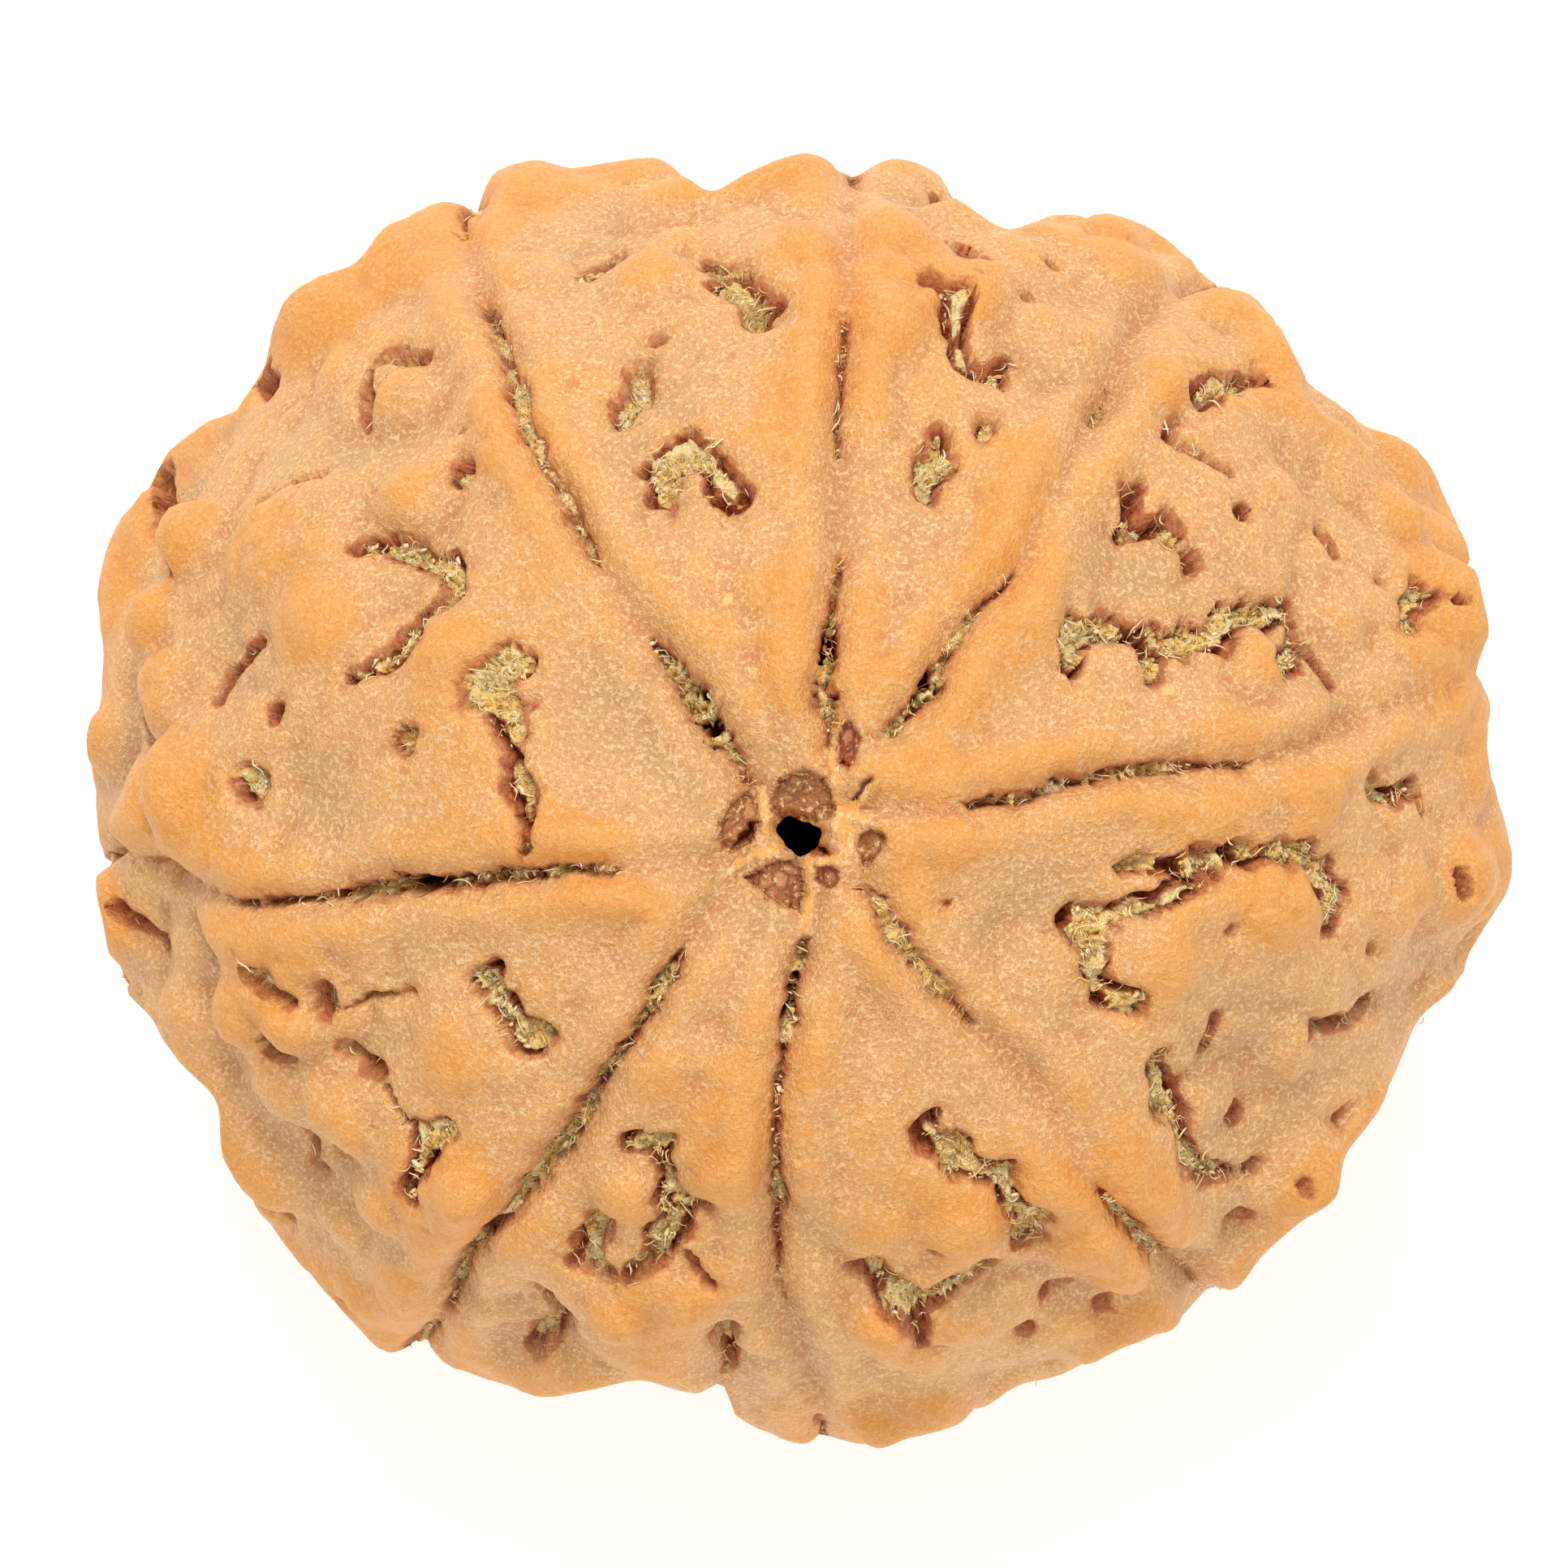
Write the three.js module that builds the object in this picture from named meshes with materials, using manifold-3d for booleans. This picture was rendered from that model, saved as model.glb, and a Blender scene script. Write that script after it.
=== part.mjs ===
// The stone of a rudraksha fruit with eight clefts, seen standing on its lower pole.
// Millimetres. +Z runs from the lower pole to the stem end, +X is the long way across.
// One grown piece: a flattened round body with eight clefts from pole to pole, welts beside
// the clefts, knobs, worm-like pits between them and one fine channel through both poles.
import * as THREE from 'three';
import { mergeVertices } from 'three/addons/utils/BufferGeometryUtils.js';
import { ConvexGeometry } from 'three/addons/geometries/ConvexGeometry.js';
import Module from 'manifold-3d';

// Driving sizes
const halfLength = 11.95;        // body half-size along X, without knobs
const halfWidth = 10.8;          // body half-size along Y, without knobs
const halfHeight = 10.2;         // from the middle to each pole
const fullness = 2.25;           // 2 is an ellipsoid, more is boxier
const footTrim = 0.2;            // how much of the lower pole is worn flat
const channelAt = [0, -0.63];    // the stem channel, from the middle of the outline
const channelRadius = 0.36;
const mouthRadius = 0.5;
const lipHeight = 0.26;          // welts along both sides of a cleft
const lipOffset = 0.55;
const lipSpread = 0.4;
const beltHeight = 1.3;          // how far up and down a rim knob reaches, twice that for a notch
const beltSink = 0.3;            // how much lower the relief lies beside the belt
const spill = 0.12;              // share by which relief may stand out past the outline
const dimpleDepth = 0.35;        // hollow round the mouth of the channel
const narrowest = 0.16;          // half width of the narrowest furrow that is cut
const broad = 0.25;              // furrows with a wider half get a flat floor
const cleftStride = 0.42;        // spacing of corners along clefts
const pitStride = 0.34;          // and along pits
const fieldSpots = 1850;         // corners strewn over the whole surface

// Clefts from the stem end out to the rim: [x, y, half width, depth], seen from above.
const clefts = [
  [[-1.19, -1.09, 0.04, 0.08], [-2.94, -1.16, 0.04, 0.08], [-3.18, -1.16, 0.11, 0.45],
  [-3.78, -1.15, 0.14, 0.7], [-4.55, -1.26, 0.14, 0.75], [-5.39, -1.37, 0.14, 0.8],
  [-6.09, -1.4, 0.17, 0.95], [-6.79, -1.44, 0.18, 1.05], [-7.49, -1.58, 0.17, 0.95],
  [-8.19, -1.72, 0.11, 0.65], [-9.42, -1.75, 0.08, 0.4], [-9.59, -1.72, 0.04, 0.1],
  [-10.36, -1.4, 0.06, 0.12], [-10.99, -1.05, 0.07, 0.15], [-12.1, -0.77, 0.13, 0.35]],
  [[-1.05, -1.33, 0.04, 0.08], [-1.96, -2.52, 0.06, 0.1], [-2.09, -2.7, 0.17, 0.8],
  [-2.45, -3.36, 0.18, 0.9], [-2.8, -4.06, 0.17, 0.75], [-3.29, -4.62, 0.15, 0.75],
  [-3.64, -5.39, 0.17, 0.85], [-4.06, -5.95, 0.17, 0.9], [-4.48, -6.44, 0.17, 0.9],
  [-4.9, -7, 0.14, 0.75], [-5.32, -7.38, 0.15, 0.85], [-5.67, -7.77, 0.17, 0.95],
  [-5.88, -8.26, 0.15, 0.8], [-5.99, -8.65, 0.11, 0.5], [-6.12, -8.82, 0.06, 0.12],
  [-6.48, -9.37, 0.14, 0.4]],
  [[0.14, -1.47, 0.04, 0.08], [0.07, -2.34, 0.06, 0.1], [0.03, -2.56, 0.15, 0.7],
  [-0.07, -3.01, 0.18, 1], [-0.14, -3.57, 0.17, 1], [-0.2, -3.99, 0.13, 0.7], [-0.28, -4.3, 0.07, 0.4],
  [-0.39, -5.11, 0.07, 0.35], [-0.42, -5.81, 0.1, 0.4], [-0.39, -6.44, 0.14, 0.75],
  [-0.35, -7, 0.15, 0.85], [-0.38, -7.35, 0.08, 0.4], [-0.35, -8.33, 0.06, 0.25],
  [-0.24, -8.89, 0.06, 0.12], [0.21, -10.01, 0.06, 0.1], [0.42, -11.02, 0.11, 0.35]],
  [[1.12, -1.4, 0.06, 0.12], [1.33, -1.75, 0.17, 0.45], [1.54, -2.17, 0.2, 0.55],
  [1.96, -2.73, 0.21, 0.6], [2.38, -3.19, 0.18, 0.55], [2.87, -3.75, 0.1, 0.4],
  [3.04, -3.93, 0.04, 0.08], [3.92, -4.69, 0.06, 0.08], [4.9, -6.37, 0.06, 0.08],
  [5.08, -6.58, 0.13, 0.6], [5.53, -7.07, 0.15, 0.75], [5.95, -7.63, 0.17, 0.8],
  [6.34, -7.88, 0.13, 0.55], [6.51, -8.08, 0.06, 0.12], [6.99, -8.5, 0.13, 0.4]],
  [[0.77, -0.14, 0.04, 0.08], [1.89, -0.18, 0.04, 0.08], [2.73, -0.13, 0.06, 0.1],
  [2.94, -0.11, 0.13, 0.6], [3.64, 0, 0.17, 0.8], [4.41, 0.24, 0.14, 0.7], [5.39, 0.49, 0.14, 0.7],
  [5.95, 0.49, 0.15, 0.8], [6.51, 0.56, 0.11, 0.5], [7.42, 0.59, 0.07, 0.3], [7.77, 0.63, 0.04, 0.08],
  [8.61, 0.91, 0.06, 0.08], [10.01, 1.61, 0.06, 0.1], [11.69, 2.31, 0.13, 0.35]],
  [[1.36, 1.08, 0.08, 0.2], [1.61, 1.22, 0.15, 0.7], [1.85, 1.47, 0.17, 0.8], [2.24, 1.96, 0.21, 1.05],
  [2.49, 2.52, 0.13, 0.55], [2.87, 3.08, 0.11, 0.45], [3.29, 3.43, 0.11, 0.45],
  [3.54, 3.74, 0.08, 0.3], [3.65, 3.92, 0.04, 0.08], [4.34, 5.32, 0.04, 0.07],
  [4.97, 6.37, 0.04, 0.08], [5.14, 6.68, 0.11, 0.3], [5.31, 6.9, 0.1, 0.3], [5.46, 7.21, 0.04, 0.08],
  [5.81, 8.26, 0.06, 0.1], [7.07, 9.06, 0.13, 0.35]],
  [[0.57, 0.77, 0.08, 0.2], [0.55, 1.12, 0.15, 0.6], [0.49, 1.4, 0.2, 0.85], [0.38, 1.89, 0.2, 1.05],
  [0.46, 2.59, 0.2, 1.05], [0.55, 3.22, 0.18, 0.95], [0.63, 3.64, 0.15, 0.8], [0.71, 4, 0.1, 0.45],
  [0.73, 4.24, 0.04, 0.07], [0.67, 5.78, 0.04, 0.07], [0.67, 5.99, 0.1, 0.45], [0.67, 6.65, 0.11, 0.6],
  [0.71, 7.35, 0.11, 0.55], [0.77, 7.88, 0.08, 0.4], [0.8, 8.11, 0.04, 0.07], [0.84, 9.31, 0.04, 0.08],
  [0.91, 10.88, 0.13, 0.35]],
  [[-0.84, 0.21, 0.06, 0.2], [-1.12, 0.77, 0.2, 0.7], [-1.44, 1.26, 0.28, 1],
  [-1.72, 1.64, 0.28, 1.05], [-2.03, 2.1, 0.21, 0.95], [-2.38, 2.55, 0.15, 0.75],
  [-2.58, 2.79, 0.06, 0.12], [-3.37, 4.03, 0.06, 0.1], [-3.5, 4.23, 0.11, 0.5],
  [-3.74, 4.69, 0.13, 0.65], [-4.13, 5.39, 0.14, 0.7], [-4.44, 5.92, 0.15, 0.75],
  [-4.62, 6.44, 0.24, 0.75], [-4.76, 6.93, 0.17, 0.75], [-4.94, 7.49, 0.15, 0.75],
  [-5.11, 7.98, 0.14, 0.7], [-5.35, 8.47, 0.1, 0.4], [-5.43, 8.69, 0.04, 0.08],
  [-5.53, 9.31, 0.04, 0.1], [-5.6, 9.87, 0.11, 0.4], [-5.6, 10.29, 0.13, 0.35]],
];

// Pits between the clefts: a depth, then points of the route as [x, y, half width].
const pits = [
  [0.7, [-2.77, 7.42, 0.22], [-2.84, 7, 0.27], [-2.98, 6.57, 0.2]],
  [0.35, [-2.42, 7.94, 0.13]],
  [0.65, [-2.28, 5.22, 0.36], [-2.39, 5.7, 0.31], [-1.89, 6.01, 0.34], [-1.44, 5.6, 0.31],
  [-1.08, 5.04, 0.28]],
  [0.6, [-3.19, 9.52, 0.17], [-3.5, 9.28, 0.25], [-3.74, 9.06, 0.14]],
  [0.55, [-1.61, 9.28, 0.2], [-1.16, 8.92, 0.34], [-0.66, 8.33, 0.36]],
  [0.75, [2.14, 8.53, 0.2], [2.62, 8.29, 0.22], [2.56, 7.74, 0.22], [2.9, 7.35, 0.28],
  [3.36, 7.21, 0.25], [3.57, 7.63, 0.17]],
  [0.7, [2.39, 6.16, 0.24], [2.25, 5.67, 0.31], [2.14, 5.25, 0.22]],
  [0.45, [3.15, 6.23, 0.21]],
  [0.35, [3.88, 8.54, 0.17]],
  [0.35, [2.45, 9.59, 0.17], [3.01, 9.1, 0.2]],
  [0.7, [5.7, 5.25, 0.28], [5.67, 4.66, 0.25], [6.2, 4.76, 0.24], [6.48, 4.52, 0.2], [6.76, 4.13, 0.13]],
  [0.7, [7.84, 7.07, 0.15], [7.42, 7, 0.2], [6.93, 6.93, 0.28], [6.79, 6.68, 0.21]],
  [0.6, [6.37, 6.37, 0.21], [6.26, 6.12, 0.18], [6.68, 5.92, 0.17], [7.24, 5.6, 0.13]],
  [0.45, [7.55, 4.9, 0.21]],
  [0.45, [8.99, 4.62, 0.17], [9.17, 4.24, 0.13]],
  [0.7, [4.52, 2.24, 0.22], [4.55, 2.8, 0.28], [5.04, 2.98, 0.28], [5.81, 2.8, 0.28],
  [6.51, 2.63, 0.29], [7.07, 2.76, 0.28], [7.38, 3.18, 0.31], [8.05, 3.22, 0.25], [8.5, 3.32, 0.2],
  [8.67, 2.87, 0.21], [8.47, 2.45, 0.28], [8.13, 2.23, 0.2]],
  [0.65, [6.06, 2.59, 0.28], [6.02, 2.06, 0.22]],
  [0.35, [8.67, 2.73, 0.14], [9, 2.34, 0.11], [9.24, 1.96, 0.08]],
  [0.55, [10.32, 3.4, 0.25], [10.21, 2.87, 0.21]],
  [0.3, [9.9, 5.56, 0.17], [10.23, 5, 0.14]],
  [0.6, [9.76, 0.28, 0.17], [10.15, 0.04, 0.25], [10.54, 0.28, 0.18], [10.64, -0.21, 0.17]],
  [0.65, [5.42, -1.16, 0.17], [5.88, -1.05, 0.21], [6.37, -1.12, 0.22], [6.93, -1.08, 0.31],
  [7.28, -0.85, 0.22], [7.84, -0.94, 0.2], [8.47, -0.88, 0.24], [8.82, -1.22, 0.34],
  [9.06, -1.72, 0.39], [9.03, -2.03, 0.22]],
  [0.65, [6.68, -1.4, 0.14], [5.95, -1.68, 0.21], [5.42, -1.92, 0.2], [4.76, -2.14, 0.35],
  [5, -2.66, 0.31], [5.04, -3.18, 0.31], [5.6, -3.43, 0.24]],
  [0.45, [7.21, -3.82, 0.15], [7.13, -4.16, 0.17], [7.04, -4.41, 0.11]],
  [0.7, [6.12, -4.41, 0.21], [6.26, -5.04, 0.34], [6.44, -5.67, 0.24], [6.62, -6.09, 0.28],
  [6.93, -6.4, 0.24], [7.42, -6.54, 0.21], [7.88, -6.37, 0.17]],
  [0.5, [7.71, -5.56, 0.24]],
  [0.3, [8.33, -6.37, 0.14]],
  [0.5, [8.86, -3.99, 0.2], [9.38, -3.88, 0.2], [9.98, -3.51, 0.15]],
  [0.35, [9.17, -5.39, 0.15]],
  [0.45, [7.63, -7.25, 0.2]],
  [0.7, [2.14, -5.56, 0.31], [2.7, -6.06, 0.31], [3.32, -6.34, 0.28], [3.57, -6.72, 0.2],
  [3.88, -7.1, 0.35], [3.79, -7.52, 0.28]],
  [0.7, [1.16, -7.98, 0.28], [1.61, -8.3, 0.31], [2.03, -8.47, 0.28], [2.52, -8.26, 0.31],
  [3.15, -8.05, 0.22]],
  [0.5, [2.03, -8.61, 0.17], [2.06, -9.17, 0.11]],
  [0.4, [4.58, -8.33, 0.14], [4.24, -8.5, 0.14]],
  [0.45, [5.19, -8.61, 0.2]],
  [0.4, [3.91, -9.07, 0.2]],
  [0.3, [1.89, -10.4, 0.13]],
  [0.6, [-2.9, -5.84, 0.17], [-2.42, -5.84, 0.31], [-2.23, -6.37, 0.24], [-2.09, -6.86, 0.31],
  [-2.11, -7.24, 0.34], [-2.48, -7.66, 0.24], [-2.87, -7.99, 0.11]],
  [0.4, [-2.1, -6.86, 0.14], [-1.58, -6.85, 0.13]],
  [0.65, [-3.4, -7.28, 0.25], [-3.71, -7.77, 0.24], [-3.29, -7.99, 0.25]],
  [0.65, [-4.45, -8.47, 0.22], [-4.16, -8.89, 0.2], [-4.16, -9.28, 0.17], [-4.69, -9.48, 0.17]],
  [0.55, [-1.29, -9, 0.2], [-1.23, -9.87, 0.14]],
  [0.7, [-5.25, -3.12, 0.34], [-5.03, -3.54, 0.28], [-4.76, -3.92, 0.29], [-4.38, -4.1, 0.25]],
  [0.6, [-9.17, -2.87, 0.21], [-8.82, -3.11, 0.22], [-8.53, -3.32, 0.14]],
  [0.65, [-8.02, -3.4, 0.28]],
  [0.5, [-8.95, -4.13, 0.21], [-8.58, -4.35, 0.14]],
  [0.5, [-7.77, -4.3, 0.21], [-7.42, -4.58, 0.22], [-7.18, -4.58, 0.17]],
  [0.65, [-5.84, -5.49, 0.24], [-6.23, -5.63, 0.28], [-6.31, -5.98, 0.2], [-6.43, -6.37, 0.21],
  [-6.4, -6.59, 0.13]],
  [0.3, [-8.68, -5.98, 0.14], [-8.5, -6.51, 0.14]],
  [0.25, [-8.02, -6.26, 0.17]],
  [0.4, [-8.02, -8.08, 0.14], [-7.69, -8.4, 0.13]],
  [0.5, [-5.7, 5.5, 0.25]],
  [0.6, [-7.38, 4.27, 0.2], [-6.86, 4.38, 0.27], [-6.37, 4.13, 0.18], [-5.87, 3.99, 0.28],
  [-5.95, 3.46, 0.2], [-6.37, 3.08, 0.17], [-6.51, 2.77, 0.24], [-6.72, 2.48, 0.21],
  [-7.14, 2.24, 0.2], [-7.49, 2.06, 0.17]],
  [0.5, [-4.8, 2.34, 0.34], [-5.22, 1.89, 0.42], [-4.9, 1.36, 0.38], [-4.83, 0.91, 0.17]],
  [0.6, [-4.76, 0.56, 0.22], [-4.66, 0.18, 0.29], [-4.55, -0.21, 0.17], [-4.49, -0.84, 0.1]],
  [0.6, [-6.58, 0.94, 0.31]],
  [0.45, [-8.89, 1.5, 0.24]],
  [0.6, [-9.31, 0.32, 0.36]],
  [0.4, [-9.28, 2.7, 0.14], [-9.87, 2.17, 0.15], [-9.98, 1.75, 0.13]],
  [0.35, [-11.48, 1.47, 0.2], [-10.99, 0.77, 0.2]],
  [0.35, [-11.41, -1.75, 0.17], [-11.06, -2.52, 0.15]],
  [0.5, [-7.07, 7.49, 0.2], [-6.4, 7.55, 0.15]],
  [0.3, [-7.32, 7.21, 0.11], [-7.38, 6.51, 0.15]],
];

// Sunken chambers round the mouth of the channel, given the same way.
const windows = [
  [0.28, [-0.14, 0.1, 0.48], [0.24, 0.04, 0.42]],
  [0.3, [-0.98, -0.14, 0.31], [-1.12, -0.63, 0.31]],
  [0.28, [-0.56, -1.33, 0.2], [0, -1.5, 0.36]],
  [0.2, [0.49, -1.27, 0.24]],
  [0.28, [1.19, -0.57, 0.22], [1.13, -1.02, 0.22]],
  [0.25, [1.13, 0.38, 0.13], [0.99, 0, 0.11]],
];

// Knobs and shoulders: [x, y, radius, height].
const knobs = [
  [-1.12, 4.62, 0.31, -0.14], [-1.19, 3.99, 0.34, -0.14], [-1.22, 3.36, 0.34, -0.16],
  [-0.84, 3.01, 0.28, -0.16], [-0.8, 2.38, 0.25, -0.14], [-0.85, 1.89, 0.2, -0.1],
  [-1.72, -4.76, 0.34, -0.14], [-2.1, -5.32, 0.36, -0.14], [-3.15, -2.31, 0.63, -0.12],
  [1.26, -3.71, 0.63, -0.12], [-1.47, -3.92, 0.42, -0.1], [-0.63, 8.19, 0.42, -0.12],
  [-5.95, 4.83, 0.49, -0.15], [-9.17, 2.31, 0.56, -0.12], [-7.77, 5.95, 0.63, -0.12],
  [4.83, 4.83, 0.56, -0.12], [3.99, 1.47, 0.84, -0.1], [2.73, 4.83, 0.7, -0.1],
  [-10.78, 4.13, 0.63, 0.36], [-10.92, 3.01, 0.63, 0.43], [-10.82, 1.75, 0.63, 0.36],
  [-10.36, 0.35, 0.7, 0.43], [-10.22, -0.49, 0.63, 0.29], [-6.72, 6.79, 0.56, 0.43],
  [-6.58, 5.11, 0.63, 0.43], [-7.91, 7.21, 0.49, 0.29], [-5.95, 2.45, 0.7, 0.29],
  [-7.91, 3.01, 0.7, 0.29], [-9.17, 4.13, 0.84, 0.29], [-4.55, 9.03, 0.7, 0.29],
  [-2.59, 8.89, 0.63, 0.43], [-2.03, 9.59, 0.63, 0.29], [-0.07, 9.31, 0.7, 0.36],
  [1.54, 9.45, 0.7, 0.43], [1.61, 7.77, 0.42, 0.29], [3.01, 8.33, 0.42, 0.36], [4.41, 7.91, 0.7, 0.29],
  [5.67, 8.89, 0.84, 0.36], [7.21, 8.19, 0.63, 0.36], [8.33, 6.51, 0.7, 0.36],
  [6.09, 6.93, 0.49, 0.36], [8.33, 5.25, 0.56, 0.29], [10.01, 4.83, 0.56, 0.36],
  [9.31, 3.15, 0.49, 0.29], [7.77, 2.31, 0.49, 0.36], [10.01, 1.47, 0.63, 0.29],
  [8.61, -0.07, 0.56, 0.29], [8.05, -1.75, 0.77, 0.36], [10.29, -1.75, 0.7, 0.36],
  [4.13, -3.01, 0.7, 0.22], [6.09, -2.87, 0.63, 0.29], [8.47, -4.41, 0.63, 0.29],
  [7.21, -5.25, 0.56, 0.29], [5.39, -7.77, 0.63, 0.51], [2.73, -7.21, 0.63, 0.43],
  [1.47, -8.75, 0.56, 0.43], [1.05, -7.21, 0.63, 0.29], [4.62, -8.82, 0.35, 0.29],
  [4.69, -7.49, 0.56, 0.36], [-3.01, -6.65, 0.49, 0.43], [-1.19, -6.37, 0.56, 0.29],
  [-1.75, -8.47, 0.56, 0.36], [-3.15, -8.61, 0.49, 0.36], [-5.11, -8.89, 0.49, 0.29],
  [-1.19, -8.05, 0.49, 0.29], [-7.77, -5.39, 0.63, 0.36], [-7.21, -6.93, 0.56, 0.36],
  [-8.89, -5.11, 0.56, 0.29], [-8.47, -3.85, 0.42, 0.43], [-9.59, -3.57, 0.56, 0.36],
  [-10.57, -2.59, 0.63, 0.36], [-5.95, -4.27, 0.7, 0.22], [-5.53, -6.37, 0.49, 0.29],
  [-9.17, -6.93, 0.56, 0.29], [-6.79, -8.05, 0.56, 0.29], [-7.91, -7.35, 0.49, 0.29],
];

// Outline at the belt: [x, y] of the knobs and of the notches between them.
const rim = [
  [-12.24, 1.12], [-12.07, 1.68], [-12.01, 2.59], [-12.12, 3.43], [-11.87, 4.69], [-11.48, 5.18],
  [-10.82, 6.05], [-10.12, 6.55], [-9.66, 6.76], [-9.24, 7.42], [-9.13, 7.77], [-8.86, 8.5],
  [-8.19, 9], [-7.63, 9.16], [-7.07, 9.84], [-6.37, 10.22], [-5.81, 10.32], [-5.6, 10.23],
  [-5.28, 10.78], [-4.55, 11.03], [-3.99, 10.89], [-2.87, 11.06], [-2.31, 11], [-1.58, 10.33],
  [-0.91, 10.63], [0, 10.99], [0.49, 10.93], [0.91, 10.81], [1.61, 11.05], [2.38, 10.81], [2.7, 10.22],
  [3.53, 9.67], [4.34, 10], [5.11, 10.04], [5.6, 10.11], [6.51, 9.62], [7.07, 9.02], [7.91, 8.57],
  [8.5, 7.42], [9.03, 6.9], [9.73, 6.44], [10.64, 6.02], [11.13, 5.22], [11.44, 4.41], [11.62, 3.43],
  [11.75, 2.73], [11.65, 2.24], [11.87, 1.58], [11.72, 0.91], [11.97, 0], [12.22, -0.84],
  [12.08, -1.68], [11.47, -2.59], [11.27, -3.08], [10.5, -3.71], [10.18, -4.41], [9.87, -5.11],
  [9.24, -5.98], [9.1, -6.76], [8.47, -7.21], [7.88, -7.77], [7.42, -8.37], [6.99, -8.47],
  [6.37, -9.06], [5.5, -9.31], [4.69, -9.76], [3.71, -9.97], [2.94, -10.57], [1.89, -10.88],
  [1.33, -11.09], [0.42, -10.99], [0.07, -11.06], [-0.63, -10.85], [-1.12, -10.5], [-1.26, -9.9],
  [-1.75, -10.12], [-2.66, -9.86], [-3.43, -10.01], [-4.41, -10.21], [-5.25, -10.05], [-6.09, -9.73],
  [-6.48, -9.38], [-7.07, -9.55], [-7.63, -9.03], [-8.54, -8.05], [-9.24, -7.21], [-9.83, -6.09],
  [-9.9, -5.11], [-10.78, -4.27], [-11.1, -3.71], [-11.69, -3.15], [-11.86, -2.24], [-12.1, -0.91],
  [-12.14, 0],
];

// Numbers between 0 and 1 that come out the same every time.
function dice(seed) {
  let state = seed;
  return () => {
    state = (state * 1664525 + 1013904223) % 4294967296;
    return state / 4294967296;
  };
}

// The point of the plain body in a given direction from its middle.
function onBody(x, y, z) {
  const across = Math.hypot(x / halfLength, y / halfWidth);
  const up = Math.abs(z) / halfHeight;
  const size = (across ** fullness + up ** fullness) ** (-1 / fullness);
  return new THREE.Vector3(x * size, y * size, z * size);
}

// Lifts a point read in plan onto the upper side of the body.
function lift(x, y) {
  const across = Math.min(Math.hypot(x / halfLength, y / halfWidth), 0.995);
  const keep = across / Math.max(Math.hypot(x / halfLength, y / halfWidth), 1e-6);
  return new THREE.Vector3(x * keep, y * keep, halfHeight * (1 - across ** fullness) ** (1 / fullness));
}

function outward(p) {
  const flat = (p.x / halfLength) ** 2 + (p.y / halfWidth) ** 2;
  const steep = Math.max(flat, 1e-9) ** (fullness / 2 - 1);
  const rise = Math.sign(p.z) * (Math.abs(p.z) / halfHeight) ** (fullness - 1) / halfHeight;
  return new THREE.Vector3(p.x * steep / halfLength ** 2, p.y * steep / halfWidth ** 2, rise).normalize();
}

const smooth = (from, to, x) => {
  const t = Math.min(Math.max((x - from) / (to - from), 0), 1);
  return t * t * (3 - 2 * t);
};
const bell = (x) => Math.exp(-x * x);

// A route is a chain of points on the body, each with a half width and a depth.
const cleftRoutes = clefts.map((cleft, i) => {
  const route = cleft.map(([x, y, wide, deep]) => ({ at: lift(x, y), wide, deep }));
  const [lastX, lastY] = cleft[cleft.length - 1];
  const azimuth = Math.atan2(lastY, lastX);
  for (let step = 1; step <= 8; step++) {
    const down = step * 0.17;
    const turn = azimuth + 0.05 * Math.sin(2.1 * step + 1.7 * i);
    const at = onBody(Math.cos(turn) * Math.cos(down), Math.sin(turn) * Math.cos(down), -Math.sin(down));
    route.push({ at, wide: 0.11 + 0.04 * Math.sin(1.3 * step + i), deep: step < 8 ? 0.5 : 0.25 });
  }
  return route;
});
const fromPlan = ([deep, ...points]) => points.map(([x, y, wide]) => ({ at: lift(x, y), wide, deep }));
const pitRoutes = pits.map(fromPlan);
const windowRoutes = windows.map(fromPlan);
const knobSpots = knobs.map(([x, y, wide, high]) => ({ at: lift(x, y), wide, high }));

// How near a point lies to a route: the distance, and the half width and depth there.
const leg = new THREE.Vector3();
const reach = new THREE.Vector3();
function nearest(p, route) {
  let best = { away: 99, wide: 1, deep: 0 };
  for (let i = 0; i < Math.max(route.length - 1, 1); i++) {
    const a = route[i];
    const b = route[Math.min(i + 1, route.length - 1)];
    leg.subVectors(b.at, a.at);
    reach.subVectors(p, a.at);
    const t = Math.min(Math.max(reach.dot(leg) / Math.max(leg.lengthSq(), 1e-9), 0), 1);
    const away = reach.addScaledVector(leg, -t).length();
    if (away < best.away) {
      best = { away, wide: a.wide + (b.wide - a.wide) * t, deep: a.deep + (b.deep - a.deep) * t };
    }
  }
  return best;
}

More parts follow.
